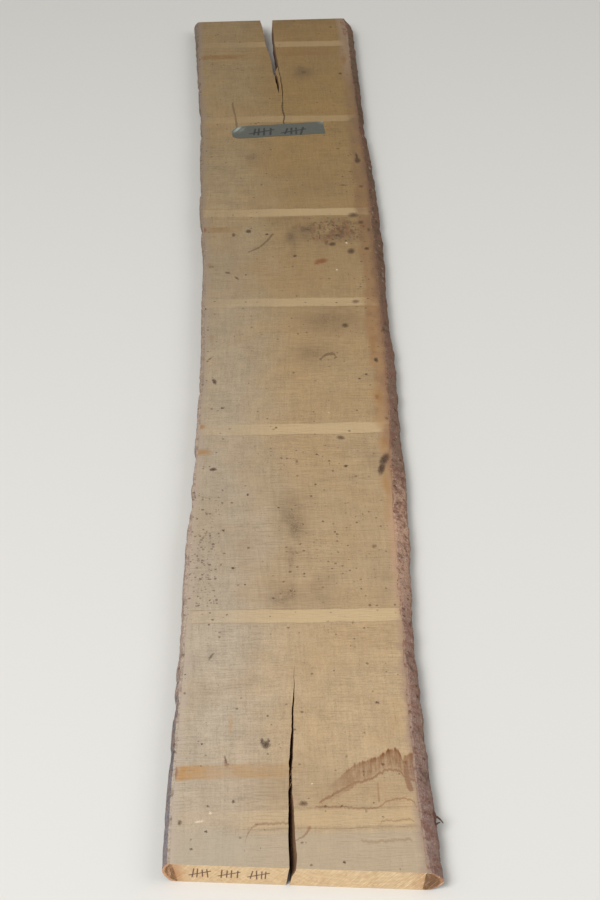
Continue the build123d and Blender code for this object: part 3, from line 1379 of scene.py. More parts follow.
@dataclass(frozen=True)
class BarkFinish:
    """Thin bark: mottled plates with painted shade low down and in its furrows, dark pits, pale scuffs and a
    sawn rim.
    """

    name: str
    slope: Stops
    rim: Stops
    # Colour of the painted shade on the lower slope.
    low: Colour
    patch: Colour
    crack: Colour = srgb(58, 42, 34)
    scuff: Colour = srgb(186, 170, 156)

    def material(self, effects: Effects) -> bpy.types.Material:
        """Build the finish as a material.

        Args:
            effects: the shared node groups.

        Returns:
            The material.
        """
        material, graph, surface = start_material(self.name)
        place = graph.millimetres()
        _, y, z = graph.split(place)
        mottle = graph.group(effects.mottle, Place=place, Size=13.0)
        pits = graph.group(effects.specks, Place=place, Spacing=6.5, Density=0.3)
        moved = graph.vector("ADD", place, (51.0, 17.0, 5.0))
        scuffs = graph.group(effects.specks, Place=moved, Spacing=8.0, Density=0.2)
        drawn = graph.vector("MULTIPLY", place, (0.6, 0.3, 0.6))
        fine, _ = graph.noise(drawn, 1.0, 4.0, 0.7)
        along = graph.math("MULTIPLY_ADD", mottle["Tone"], 60.0, y)
        tone = graph.math("MULTIPLY_ADD", graph.attribute("tone"), 0.6, mottle["Tone"])
        colour = graph.blend(along, self.slope)
        colour = graph.mix(graph.ramp(tone, -0.1, 1.0, 0.0, 0.7), colour, self.patch)
        # Painted shade: the lower slope turns towards the low colour.
        height = graph.math("MULTIPLY_ADD", mottle["Tone"], 3.0, z)
        colour = graph.mix(graph.ramp(height, 13.0, 22.0, 0.8, 0.0), colour, self.low)
        colour = graph.shade(colour, graph.ramp(fine, 0.3, 0.7, -0.34, 0.3))
        # Painted shade: the furrows darken towards the crack colour with their depth.
        colour = graph.mix(graph.math("MULTIPLY", graph.attribute("depth"), 0.6), colour, self.crack)
        colour = graph.mix(graph.math("MULTIPLY", pits["Mask"], 0.7), colour, self.crack)
        colour = graph.mix(graph.math("MULTIPLY", scuffs["Mask"], 0.4), colour, self.scuff)
        top = graph.blend(along, self.rim)
        top = graph.mix(graph.ramp(tone, -0.2, 0.9, 0.0, 0.65), top, self.patch)
        top = graph.shade(top, graph.ramp(fine, 0.3, 0.7, -0.2, 0.18))
        top = graph.mix(graph.math("MULTIPLY", pits["Mask"], 0.5), top, self.crack)
        sawn = graph.math("MULTIPLY", graph.attribute("sawn"), graph.ramp(fine, 0.25, 0.6, 0.75, 1.0))
        colour = graph.mix(graph.ramp(sawn, 0.2, 0.9), colour, top)
        graph.feed(surface.inputs["Base Color"], colour)
        surface.inputs["Roughness"].default_value = 0.9
        surface.inputs["Specular IOR Level"].default_value = 0.2
        add_bump(graph, surface, fine, 0.001)
        return material


@dataclass(frozen=True)
class TapeFinish:
    """Cloth tape: a fine weave under a dull plastic skin, with hand-drawn tally strokes.

    Its threads are sine waves of the given pitch, turned with the tape by the given slope.
    """

    name: str
    skin: Colour = srgb(76, 78, 69)
    # Pale colour of the painted highlight on the creases and the lifted corner.
    worn: Colour = srgb(182, 188, 176)
    thread: Colour = srgb(98, 100, 89)
    ink: Colour = srgb(18, 17, 18)
    strokes: tuple[Trace, ...] = ()
    turn: float = 0.07
    pitch: float = 1.3

    def material(self, effects: Effects) -> bpy.types.Material:
        """Build the finish as a material.

        Args:
            effects: the shared node groups.

        Returns:
            The material.
        """
        material, graph, surface = start_material(self.name)
        place = graph.millimetres()
        x, y, _ = graph.split(place)
        mottle = graph.group(effects.mottle, Place=place, Size=16.0)
        along = graph.math("MULTIPLY_ADD", y, -self.turn, x)
        across = graph.math("MULTIPLY_ADD", x, self.turn, y)
        threads = [
            graph.math("SINE", graph.math("MULTIPLY", value, 2 * math.pi / self.pitch))
            for value in (along, across)
        ]
        weave = graph.math("MAXIMUM", *threads)
        colour = graph.mix(graph.ramp(weave, 0.0, 1.0, 0.0, 0.22), self.skin, self.thread)
        colour = graph.shade(colour, graph.math("MULTIPLY", mottle["Tone"], 0.1))
        colour = graph.mix(graph.traces(x, y, self.strokes, 0.7), colour, self.ink)
        # Painted highlight: the creases and the lifted corner turn towards the pale worn colour, broken up by
        # the mottle.
        patchy = graph.ramp(mottle["Tone"], -1.0, 0.6, 0.4, 1.0)
        worn = graph.math("MULTIPLY", graph.attribute("crease"), patchy)
        colour = graph.mix(worn, colour, self.worn)
        graph.feed(surface.inputs["Base Color"], colour)
        graph.feed(surface.inputs["Roughness"], graph.math("MULTIPLY_ADD", mottle["Tone"], 0.08, 0.55))
        surface.inputs["Specular IOR Level"].default_value = 0.35
        add_bump(graph, surface, weave, 0.00006)
        return material


def tally(
    left: float, middle: float, height: float, half: float, groups: int, seed: int
) -> tuple[Trace, ...]:
    """Draw hand-made tally marks: groups of four upright strokes, each crossed by a slanted one.

    Args:
        left: where the first group starts.
        middle: the height of the strokes' middle.
        height: how tall they are.
        half: half the width of the pen's line.
        groups: how many groups there are.
        seed: picks the unevenness of the hand.

    Returns:
        One trace for each stroke.
    """
    random = np.random.default_rng(seed)
    gap, lean = height * 0.42, height * 0.1
    drawn = []
    for group in range(groups):
        start = left + group * gap * 6
        for stroke in range(4):
            low, high, slip = random.uniform(-1, 1, 3) * height * 0.08
            foot = start + stroke * gap + low, middle - height / 2 + slip
            head = start + stroke * gap + high + lean, middle + height / 2 - slip
            drawn.append(Trace((foot, head), half, PEN_STRENGTH))
        foot = start - gap * 0.7, middle - height * 0.3
        head = start + gap * 3.8, middle + height * 0.3
        drawn.append(Trace((foot, head), half, PEN_STRENGTH))
    return tuple(drawn)


# Pieces


class Side(IntEnum):
    """The board's two live edges, by the sign of their X."""

    LEFT = -1
    RIGHT = 1


class Region(IntEnum):
    """The kinds of surface on the board."""

    TOP = 0
    UNDERSIDE = 1
    NEAR_END = 2
    FAR_END = 3
    SPLIT_WALL = 4
    HIDDEN = 5


HALF_WIDTH = 158.0  # X, left or right, at which a live edge's places along the board are read
BARK_DEPTH = {Side.LEFT: (4.2, 1.4), Side.RIGHT: (3.2, 2.4)}  # mean thickness, and its sway


@dataclass(frozen=True)
class BoardShape:
    """The board's outline, read from the frame's own solid, in millimetres."""

    along: Array
    top: dict[Side, Array]
    middle: dict[Side, Array]
    bottom: dict[Side, Array]
    near_y: float
    near_slope: float
    far_y: float
    thickness: float

    @classmethod
    def from_node(cls, node: bpy.types.Object) -> BoardShape:
        """Read the edges at three heights, each smoothed along the board by a bell curve.

        Args:
            node: the board in the frame.

        Returns:
            Its shape.
        """
        stations, half_bell, least_x = 401, 8, 100.0
        points = np.empty(len(node.data.vertices) * 3, np.float32)
        node.data.vertices.foreach_get("co", points)
        points = points.reshape(-1, 3).astype(float) / MM
        thickness = points[:, 2].max()
        along = np.linspace(points[:, 1].min(), points[:, 1].max(), stations)
        bell = np.exp(-np.square(np.arange(-half_bell, half_bell + 1) / 3) / 2)
        bell /= bell.sum()

        def edge(side: Side, level: float, reach: float, least: Array) -> Array:
            """Join the points near one height, mirror the line past its ends, and smooth it.

            Args:
                side: the live edge.
                level: the height.
                reach: how far from it a point may be.
                least: how far out a point must be, at each station.

            Returns:
                X of the edge at each station.
            """
            outside = points[:, 0] * side > np.interp(points[:, 1], along, least)
            near = points[(np.abs(points[:, 2] - level) < reach) & outside]
            near = near[np.argsort(near[:, 1])]
            line = np.interp(along, near[:, 1], near[:, 0])
            start = 2 * line[0] - line[half_bell:0:-1]
            end = 2 * line[-1] - line[-2 : -half_bell - 2 : -1]
            return np.convolve(np.concatenate([start, line, end]), bell, "valid")

        inner = np.full(along.shape, least_x)
        top = {side: edge(side, thickness, 0.1, inner) for side in Side}
        middle = {side: edge(side, thickness / 2, 2.2, side * top[side] - 5) for side in Side}
        bottom = {side: edge(side, 0.0, 0.1, inner) for side in Side}
        upper = points[points[:, 2] > thickness - 0.1]
        corner = {
            side: min(upper[upper[:, 0] * side > least_x], key=lambda point: point[1]) for side in Side
        }
        left, right = corner[Side.LEFT], corner[Side.RIGHT]
        slope = (right[1] - left[1]) / (right[0] - left[0])
        near_y = left[1] - slope * left[0]
        return cls(along, top, middle, bottom, near_y, slope, points[:, 1].max(), thickness)

    def place_along(self, share: Array, x: Array) -> Array:
        """Y of a point at a share of the way from the near end, which is skewed, to the far end."""
        return (self.near_y + self.near_slope * x) * (1 - share) + self.far_y * share

    def edge(self, side: Side, y: Array, z: Array) -> Array:
        """X of the live edge: the parabola through its upper, widest and lower outline.

        Args:
            side: the live edge.
            y: place along the board.
            z: height.

        Returns:
            X at each point.
        """
        t = z / self.thickness
        lines = self.bottom[side], self.middle[side], self.top[side]
        bottom, middle, top = (np.interp(y, self.along, line) for line in lines)
        return bottom * (1 - t) * (1 - 2 * t) + middle * 4 * t * (1 - t) + top * t * (2 * t - 1)

    def joint(self, side: Side, y: Array, z: Array) -> Array:
        """X of the joint between wood and bark: the edge less the bark's wandering thickness.

        Args:
            side: the live edge.
            y: place along the board.
            z: height.

        Returns:
            X at each point.
        """
        depth, sway = BARK_DEPTH[side]
        wave = layered_noise(y / 26, z / 60 + 7, 41 + side)
        return self.edge(side, y, z) - side * (depth + sway * wave)


@dataclass(frozen=True)
class SplitLines:
    """Walls of the splits on the upper face, as (y, x) pairs from the near end to the far end."""

    left: tuple[Place, ...] = (
        (-1233, -10.7), (-1200, -11.7), (-1160, -11.3), (-1141, -10.4), (-1101, -10), (-1088, -8.7),
        (-1053, -8.7), (-1035, -7.3), (-1000, -4.7), (-973, -3.3), (-947, -1.7), (-920, 0.3), (-869, 2),
        (0, 4), (842, 4), (875, 1.1), (902, -1.3), (926, -3.3), (947, -7), (974, -8), (1003, -10),
        (1032, -13.3), (1062, -18), (1102, -22.7), (1147, -25.3), (1182, -28.7), (1220, -32.8),
    )
    near_gap: tuple[Place, ...] = (
        (-1233, 7.2), (-1200, 9.7), (-1179, 8.6), (-1141, 7.1), (-1120, 6), (-1101, 4.7), (-1088, 4),
        (-1064, 3.4), (-1053, 4.7), (-1035, 4), (-1016, 4), (-1000, 2.7), (-947, 2), (-920, 0.9), (-872, 0),
    )
    splinter_left: tuple[Place, ...] = (
        (842, 4), (875, 5.7), (902, 4.7), (923, 2.7), (942, -1.3), (966, 1.5), (974, 5.8),
    )
    side_crack: tuple[Place, ...] = (
        (784, 0), (796, 0.7), (848, 1.6), (875, 2), (902, 1.8), (934, 1.4), (966, 1.2), (974, 0),
    )
    right: tuple[Place, ...] = (
        (640, 4), (700, 9), (784, 12.6), (848, 13.3), (888, 12), (915, 10.7), (934, 8.7), (955, 6.7),
        (990, 5), (1014, 3.3), (1048, 1), (1075, 0), (1107, -2), (1147, -2.7), (1182, -4.7), (1220, -4.8),
    )
    near_lean: float = 4.5
    far_lean: float = 3.0

    def walls(self, y: Array) -> tuple[Array, Array, Array, Array]:
        """X of the four walls: left of the split, the splinter's two sides, and right of it.

        Where a gap is closed, its two walls are one line. Past the splinter's free end, both of
        its sides run along the right wall, and before its root along the left one.

        Args:
            y: place along the board.

        Returns:
            X of each wall, from the left to the right.
        """
        start, root, free_end = self.right[0][0], self.splinter_left[0][0], self.splinter_left[-1][0]
        left = follow(self.left, y)
        far_right = np.where(y > start, follow(self.right, y), left)
        splinter_right = np.maximum(far_right - follow(self.side_crack, y), left)
        splinter_left = np.where(y > root, follow(self.splinter_left, y), left)
        splinter_left = np.where(y > free_end, far_right, np.minimum(splinter_left, splinter_right))
        right = far_right + follow(self.near_gap, y)
        return left, splinter_left, splinter_right, right


@dataclass
class SawnBoard:
    """The board's wood: sawn faces, crosscut ends and the walls of the splits.

    Three strips lie side by side between the two joints with the bark and the four split walls.
    Each is a lattice of stations along the board, columns across it and rows through it.

    Over the two ranges of Y, on either side of the middle, the walls take on their full lean and
    their torn wander. Their roughness grows with the gap up to rough_gap, and a gap under open_gap
    counts as closed. A ledge low in the near split fills a share of it.
    """

    shape: BoardShape
    effects: Effects
    splits: SplitLines = SplitLines()
    stations: int = 640
    columns: int = 40
    splinter_columns: int = 4
    rows: int = 8
    under_step: int = 5
    lean_range: Place = (300.0, 800.0)
    torn_range: Place = (500.0, 760.0)
    rough_gap: float = 2.5
    open_gap: float = 0.02
    ledge_share: float = 0.45

    def lattice(self, walls: tuple[Array, Array], columns: int, share: Array) -> Array:
        """Places of one strip: its walls joined by straight lines, with a gentle unevenness.

        Args:
            walls: X of its left and right wall, by station and row.
            columns: how many cells lie between them.
            share: share of the board's length at each station.

        Returns:
            Places by station, column, row and axis.
        """
        across = np.linspace(0, 1, columns + 1)[None, :, None]
        x = walls[0][:, None, :] * (1 - across) + walls[1][:, None, :] * across
        y = self.shape.place_along(share[:, None, None], x)
        z = np.broadcast_to(np.linspace(0, self.shape.thickness, self.rows + 1), x.shape).copy()
        z[..., -1] += 0.22 * layered_noise(x[..., -1] / 60, y[..., -1] / 150, 5) - 0.2
        z[..., 0] -= 0.18 * layered_noise(x[..., 0] / 70, y[..., 0] / 160, 8) - 0.2
        return np.stack([x, y, z], -1)

    def strip_faces(
        self, index: Array, left_wall: Array, right_wall: Array, outer: Side | None
    ) -> list[tuple[Region, Faces]]:
        """Make the faces of one strip, with a coarser underside that both its end rows join.

        Args:
            index: vertex numbers by station, column and row.
            left_wall: at which steps along the board its left wall is open.
            right_wall: the same for its right wall.
            outer: the side on which it meets the bark, if it does.

        Returns:
            The faces of its upper side, underside, ends and open walls, each with its region.
        """
        step = self.under_step if index.shape[1] > self.under_step + 1 else index.shape[1] - 1
        coarse = index[:, ::step, 0]
        under = quads(coarse[1:-1], False)
        for row, inner in ((0, 1), (-1, -2)):
            edge = index[row, :, 0].tolist()
            for cell in range(coarse.shape[1] - 1):
                fine = edge[cell * step : cell * step + step + 1]
                pair = [int(coarse[inner, cell]), int(coarse[inner, cell + 1])]
                under.append([*pair, *fine[::-1]] if row == 0 else [*pair[::-1], *fine])
        found = [
            (Region.TOP, quads(index[:, :, -1], True)),
            (Region.UNDERSIDE, under),
            (Region.NEAR_END, quads(index[0], False)),
            (Region.FAR_END, quads(index[-1], True)),
        ]
        for wall, is_open, flip in ((index[:, 0], left_wall, True), (index[:, -1], right_wall, False)):
            region = Region.HIDDEN if outer is (Side.LEFT if flip else Side.RIGHT) else Region.SPLIT_WALL
            for place in np.flatnonzero(is_open[:-1] | is_open[1:]):
                found.append((region, quads(wall[place : place + 2], flip)))
        return found

    def build(self) -> bpy.types.Object:
        """Build the board as one closed mesh and dress it.

        A split's wall is its line on the upper face, less its lean times the depth, plus a torn
        wander of layered noise. The two outer walls are also roughened away from the gap.

        Returns:
            The board.
        """
        share = np.linspace(0, 1, self.stations + 1)
        height = np.linspace(0, self.shape.thickness, self.rows + 1)[None, :]
        y = self.shape.place_along(share, 0.0)[:, None]
        outer = {
            side: self.shape.joint(side, self.shape.place_along(share, side * HALF_WIDTH)[:, None], height)
            for side in Side
        }
        depth = 1 - height / self.shape.thickness
        lean = np.where(y < 0, self.splits.near_lean, self.splits.far_lean)
        lean = lean * smooth_step(*self.lean_range, np.abs(y))
        torn = 0.9 * layered_noise(y / 17, height / 60, 21) + 0.35 * layered_noise(y / 4, height / 9, 24)
        torn = torn * smooth_step(*self.torn_range, np.abs(y))
        walls = [wall[:, None] + np.zeros_like(height) for wall in self.splits.walls(y[:, 0])]
        first_gap, second_gap = walls[1] - walls[0], walls[3] - walls[2]
        rough = 0.5 * layered_noise(y / 6, height / 7, 27)
        own = rough * np.minimum(np.maximum(first_gap, second_gap), self.rough_gap) / self.rough_gap
        placed = [wall - lean * depth + torn for wall in walls]
        placed[0] = placed[0] - np.abs(own) * (first_gap > 0)
        placed[3] = placed[3] + np.abs(own) * (second_gap > 0)
        ledge = smooth_step(27, 12, height + 3 * layered_noise(y / 24, 0.5, 29)) * (y < 0)
        placed[3] = placed[3] - self.ledge_share * second_gap * ledge
        open_first, open_second = (gap[:, 0] > self.open_gap for gap in (first_gap, second_gap))
        always = np.ones(len(share), bool)
        strips = (
            ((outer[Side.LEFT], placed[0]), self.columns, always, open_first, Side.LEFT),
            ((placed[1], placed[2]), self.splinter_columns, open_first, open_second, None),
            ((placed[3], outer[Side.RIGHT]), self.columns, open_second, always, Side.RIGHT),
        )
        points, faces, regions, count = [], [], [], 0
        for pair, columns, left_open, right_open, side in strips:
            grid = self.lattice(pair, columns, share)
            index = np.arange(count, count + grid[..., 0].size).reshape(grid.shape[:-1])
            count += index.size
            points.append(grid.reshape(-1, 3))
            for region, found in self.strip_faces(index, left_open, right_open, side):
                faces += found
                regions += [region] * len(found)
        points = np.concatenate(points)
        used, place = np.unique(np.concatenate([np.array(face) for face in faces]), return_inverse=True)
        ends = np.cumsum([len(face) for face in faces])[:-1]
        faces = [part.tolist() for part in np.split(place.ravel(), ends)]
        points, faces, kept = weld(points[used], faces)
        return self.dress(points, faces, np.array(regions)[kept])

    def dress(self, points: Array, faces: Faces, regions: Array) -> bpy.types.Object:
        """Give the wood its finishes and the fields that they read.

        Args:
            points: vertex places, in millimetres.
            faces: vertex numbers of each face.
            regions: the region of each face.

        Returns:
            The board.
        """
        x, y, z = points.T
        joint = {side: side * self.shape.joint(side, y, z) for side in Side}
        rim = np.minimum(x + joint[Side.LEFT], joint[Side.RIGHT] - x)
        # Field of grey patches, with painted shade at the far end.
        grey = sum(spot.field(x, y, 2) for spot in GREY_AND_SHADE_PATCHES)
        specks = LEAST_SPECKS + sum(spot.field(x, y, 4) for spot in SPECK_FIELDS)
        materials = [
            SawnFinish("Sawn face").material(self.effects),
            SawnFinish("Underside", marked=False).material(self.effects),
            EndGrainFinish("Near end grain", strokes=tally(-128, 17, 14, 0.75, 3, 12)).material(self.effects),
            EndGrainFinish("Far end grain", srgb(178, 150, 114), srgb(142, 112, 80)).material(self.effects),
            SplitFinish("Torn wood").material(self.effects),
        ]
        materials.append(materials[Region.SPLIT_WALL])
        fields = {"rim": rim, "grey": grey, "specks": specks}
        return make_piece("sawn_board", points, faces, materials, regions, fields)


@dataclass
class BarkEdge:
    """Bark along one live edge: a closed strip from the sawn rim down the rough slope.

    It covers the joint by at least cover, and reaches back into the wood by hold, at the height of
    inset from each face. Its rim lies rim_drop under the upper face and its foot foot_lift above
    the lower one, and both are worn towards the outside.
    """

    shape: BoardShape
    side: Side
    stations: int = 1200
    rim_columns: int = 5
    slope_rows: int = 26
    cover: float = 0.4
    hold: float = 2.6
    inset: float = 2.0
    rim_drop: float = 0.25
    rim_wear: float = 1.1
    foot_lift: float = 0.2
    foot_wear: float = 0.5

    def relief(self, y: Array, z: Array) -> tuple[Array, Array, Array]:
        """How far the bark stands out: broad waves, bumps, shallow furrows and ragged bites.

        The left bark smooths out and thins towards the near end. The right one is slimmer round
        the board's middle, and fills out to the upper face at the far corner.

        Args:
            y: place along the board.
            z: height.

        Returns:
            The height of the relief, how deep a point lies in a pit from 0 to 1, and the random
            tone of its plate.
        """
        seed = 60 + self.side * 10
        bend = layered_noise(y / 60, z / 24, seed)
        first, second, tone = cell_noise(y / 30 + 0.5 * bend, z / 13 + 0.6 * bend, seed + 1)
        furrow = 1 - smooth_step(0.0, 0.2, second - first)
        broad = 1.3 * layered_noise(y / 60, z / 50, seed + 2)
        bumps = 0.9 * layered_noise(y / 12, z / 9, seed + 5)
        fine = 0.4 * layered_noise(y / 3.4, z / 2.6, seed + 7)
        rough = bumps + fine + 0.4 * tone - 0.7 * furrow * smooth_step(-0.4, 0.5, bend)
        short = smooth_step(-0.1, 0.75, layered_noise(y / 20, z / 90, seed + 8))
        long = smooth_step(-0.15, 0.55, layered_noise(y / 47, z / 120, seed + 11))
        bite = (1.5 * short + 3.0 * long) * (1 - 0.35 * smooth_step(20, 4, z))
        depth = smooth_step(-0.25, -1.3, rough)
        swell = z / self.shape.thickness * (1 - z / self.shape.thickness) * 4
        if self.side is Side.LEFT:
            smooth = smooth_step(-860, -1060, y)
            out = 0.6 * broad + 0.5 * rough + (1.4 - bite) * (1 - 0.8 * smooth)
            return out - 1.4 * swell * smooth, depth, tone
        slim = smooth_step(-480, -330, y) * smooth_step(560, 450, y)
        corner = smooth_step(940, 1180, y) * smooth_step(8, 28, z)
        out = 0.8 * broad + rough + 0.9 - 0.8 * bite - 5.5 * swell * slim + 8 * corner
        return out, depth, tone

    def build(self, finish: bpy.types.Material, sawn_end: bpy.types.Material) -> bpy.types.Object:
        """Build the strip: a closed profile carried along the board, with flat sawn ends.

        Args:
            finish: the bark's material.
            sawn_end: the material of its two ends.

        Returns:
            The bark.
        """
        shape, side, thick = self.shape, int(self.side), self.shape.thickness
        share = np.linspace(0, 1, self.stations + 1)[:, None]
        y = shape.place_along(share, side * HALF_WIDTH)
        slope = np.linspace(0, 1, self.slope_rows + 1)[None, :]
        slope_z = thick * (1 - slope) * np.ones_like(y)
        out, pits, tone = self.relief(y, slope_z)
        covered = side * shape.joint(self.side, y, slope_z) + self.cover
        slope_x = side * np.maximum(side * shape.edge(self.side, y, slope_z) + out, covered)
        rim = np.linspace(0, 1, self.rim_columns + 1)[None, :-1]
        top_joint = shape.joint(self.side, y, np.full_like(y, thick))
        low_joint = shape.joint(self.side, y, np.zeros_like(y))
        rim_x = top_joint * (1 - rim) + slope_x[:, :1] * rim
        low_x = slope_x[:, -1:] * rim + low_joint * (1 - rim)
        crumbled = 0.5 + 0.5 * layered_noise(y / 9, rim * 2, 77 + side)
        rim_z = thick - self.rim_drop - self.rim_wear * rim * crumbled
        low_z = self.foot_lift + self.foot_wear * rim * crumbled
        slope_z[:, 0] = thick - self.rim_drop - self.rim_wear * crumbled[:, -1]
        slope_z[:, -1] = self.foot_lift + self.foot_wear * crumbled[:, -1]
        inside = top_joint - side * self.hold, low_joint - side * self.hold
        x = np.concatenate([inside[0], rim_x, slope_x, low_x[:, ::-1], inside[1]], 1)
        held = np.full_like(y, thick - self.inset), np.full_like(y, self.inset)
        z = np.concatenate([held[0], rim_z, slope_z, low_z[:, ::-1], held[1]], 1)
        points = np.stack([x, shape.place_along(share, x), z], -1)
        index = np.arange(x.size).reshape(x.shape)
        closed = np.concatenate([index, index[:, :1]], 1)
        faces = quads(closed, self.side is Side.RIGHT)
        ends = index[0].tolist(), index[-1].tolist()
        faces += [ends[0][::-1], ends[1]] if self.side is Side.RIGHT else [ends[0], ends[1][::-1]]

        start = 1 + rim.shape[1]
        rough = np.s_[:, start : start + slope_z.shape[1]]
        sawn, depth, tones = np.ones(x.shape), np.zeros(x.shape), np.zeros(x.shape)
        sawn[rough], depth[rough], tones[rough] = 0, pits, tone
        fields = {"sawn": sawn.ravel(), "depth": depth.ravel(), "tone": tones.ravel()}
        regions = np.arange(len(faces)) >= len(faces) - len(ends)
        name = "bark_left" if self.side is Side.LEFT else "bark_right"
        return make_piece(name, points.reshape(-1, 3), faces, [finish, sawn_end], regions, fields, 60)


@dataclass(frozen=True)
class Stick:
    """A bent, tapered stick: its two ends, the point it bends towards and its radius."""

    start: Point
    bend: Point
    end: Point
    radius: float


@dataclass
class Shreds:
    """Torn fibres or bark that stand off the board, as one mesh of bent sticks."""

    name: str
    sticks: tuple[Stick, ...]
    rings: int = 12
    corners: int = 8

    def stick(self, stick: Stick) -> Array:
        """Places of one stick, by ring and corner.

        Middle of a ring: (1-u)^2 start + 2u(1-u) bend + u^2 end, with u from 0 to 1. Its radius is
        the stick's own times (1 - 0.7u), and nought at the first and last ring.

        Args:
            stick: the stick.

        Returns:
            Places by ring, corner and axis.
        """
        u = np.linspace(0, 1, self.rings)[:, None]
        start, bend, end = (np.array(point) for point in (stick.start, stick.bend, stick.end))
        middle = (1 - u) ** 2 * start + 2 * u * (1 - u) * bend + u**2 * end
        ahead = 2 * (1 - u) * (bend - start) + 2 * u * (end - bend)
        ahead /= np.linalg.norm(ahead, axis=1, keepdims=True)
        side = np.cross(ahead, (0.3, 0.2, 0.93))
        side /= np.linalg.norm(side, axis=1, keepdims=True)
        above = np.cross(side, ahead)
        radius = stick.radius * (1 - 0.7 * u) * ((u > 0) & (u < 1))
        turn = np.linspace(0, 2 * np.pi, self.corners + 1)[None, :, None]
        ring = np.cos(turn) * side[:, None] + np.sin(turn) * above[:, None]
        return middle[:, None] + radius[:, None] * ring

    def build(self, finish: bpy.types.Material) -> bpy.types.Object:
        """Join all the sticks into one piece, each closed to a point at both ends.

        Args:
            finish: their material.

        Returns:
            The piece.
        """
        points, faces, count = [], [], 0
        for stick in self.sticks:
            grid = self.stick(stick)
            index = np.arange(grid[..., 0].size).reshape(grid.shape[:2]) + count
            count += index.size
            points.append(grid.reshape(-1, 3))
            faces += quads(index, False)
        points, faces, _ = weld(np.concatenate(points), faces)
        return make_piece(self.name, points, faces, [finish])


@dataclass
class TapeStrip:
    """Strip of cloth tape across the board: creased at its left end, lifted at one corner.

    The creases are sine waves of the given pitch and height, faded in over a range at the left
    end. The corner lifts by the square of how far a point lies into it.
    """

    length: float = 190.0
    width: float = 52.0
    thickness: float = 0.4
    middle: Place = (1.0, 672.0)
    turn: float = 4.0
    corner: float = 14.0
    cells: tuple[int, int] = (150, 42)
    crease_range: Place = (34.0, 6.0)
    crease_height: float = 0.4
    crease_pitch: float = 3.1
    lift_reach: float = 16.0
    lift_height: float = 0.8
    clearance: float = 0.05

    def build(self, effects: Effects, level: float) -> bpy.types.Object:
        """Build the strip: a sheet whose left end is cut back at its two corners.

        Args:
            effects: the shared node groups.
            level: height of the face that it is stuck to.

        Returns:
            The tape, as one closed mesh.
        """
        u, v = np.meshgrid(*(np.linspace(-0.5, 0.5, cells + 1) for cells in self.cells), indexing="ij")
        up, down = (0.5 - v) * self.width, (0.5 + v) * self.width
        slanted = np.maximum(self.corner - up, 0)
        inner = np.maximum(self.corner - down, 0)
        rounded = self.corner - np.sqrt(np.maximum(self.corner**2 - np.square(inner), 0))
        cut = np.maximum(slanted, rounded)
        s = -self.length / 2 + cut + (u + 0.5) * (self.length - cut)
        t = v * self.width + 0.5 * value_noise(s / 14, np.sign(v) * 3, 91)
        flat, creased = (reach - self.length / 2 for reach in self.crease_range)
        crease = smooth_step(flat, creased, s) * smooth_step(-8, 20, t)
        ripple = crease * np.abs(np.sin((s * 0.8 - t * 0.5) / self.crease_pitch))
        past = np.clip((s - self.length / 2 + self.lift_reach) / self.lift_reach, 0, 1)
        lifted = np.square(past * np.clip((t - 6) / 20, 0, 1))
        lift = self.crease_height * ripple + self.lift_height * lifted + self.clearance
        angle = math.radians(self.turn)
        x = self.middle[0] + s * math.cos(angle) - t * math.sin(angle)
        y = self.middle[1] + s * math.sin(angle) + t * math.cos(angle)
        upper = np.stack([x, y, level + lift + self.thickness], -1).reshape(-1, 3)
        lower = np.stack([x, y, level + lift * 0.98], -1).reshape(-1, 3)
        index = np.arange(x.size).reshape(x.shape)
        border = np.concatenate([index[:-1, 0], index[-1, :-1], index[:0:-1, -1], index[0, :0:-1]])
        ring = np.stack([np.append(border, border[0]), np.append(border, border[0]) + x.size], 1)
        faces = quads(index, False) + quads(index + x.size, True) + quads(ring, True)
        points = np.concatenate([upper, lower])
        # The crease field marks where the painted highlight lies: on the creases and the lifted corner.
        fields = {"crease": np.tile((ripple + 0.7 * lifted).ravel(), 2)}
        marks = tally(-50, self.middle[1] - 6, 26, 2.1, 2, 5)
        material = TapeFinish("Cloth tape", strokes=marks).material(effects)
        return make_piece("tape", points, faces, [material], None, fields)


BARKS = {
    Side.LEFT: BarkFinish(
        "Bark left",
        slope=(
            (-1150.0, srgb(130, 124, 128)),
            (-1000.0, srgb(112, 106, 106)),
            (-860.0, srgb(166, 146, 132)),
            (-300.0, srgb(164, 144, 128)),
            (300.0, srgb(138, 122, 104)),
            (900.0, srgb(130, 116, 100)),
        ),
        rim=LEFT_RIM,
        low=srgb(104, 94, 88),
        patch=srgb(138, 118, 106),
    ),
    Side.RIGHT: BarkFinish(
        "Bark right",
        slope=(
            (-1180.0, srgb(140, 114, 104)),
            (-900.0, srgb(146, 118, 104)),
            (-600.0, srgb(180, 146, 124)),
            (-420.0, srgb(128, 102, 86)),
            (250.0, srgb(108, 84, 66)),
            (850.0, srgb(96, 76, 58)),
            (1000.0, srgb(108, 88, 70)),
        ),
        rim=RIGHT_RIM,
        low=srgb(92, 72, 58),
        patch=srgb(124, 86, 72),
    ),
}
BARK_ENDS = {
    Side.LEFT: (srgb(214, 168, 128), srgb(196, 148, 112), srgb(200, 152, 116)),
    Side.RIGHT: (srgb(192, 146, 112), srgb(164, 120, 92), srgb(168, 124, 96)),
}
BARK_SHREDS = (
    Stick((168, -1130, 20), (172, -1142, 24), (167, -1157, 21), 2.6),
    Stick((168, -1137, 21), (174, -1141, 25), (180, -1147, 18), 1.9),
    Stick((167, -1153, 20), (173, -1150, 25), (176, -1146, 19), 1.8),
)
SPLIT_FIBRES = (
    Stick((-13.0, -1098, 27), (-8, -1092, 29), (-3.0, -1074, 30), 1.0),
    Stick((-12.0, -1090, 23), (-8, -1080, 26), (-3.5, -1066, 27), 0.9),
    Stick((-11.5, -1078, 29), (-7, -1074, 30), (-4.0, -1056, 28), 0.8),
    Stick((-12.5, -1118, 18), (-8, -1108, 20), (-2.5, -1096, 21), 1.1),
)


# Studio


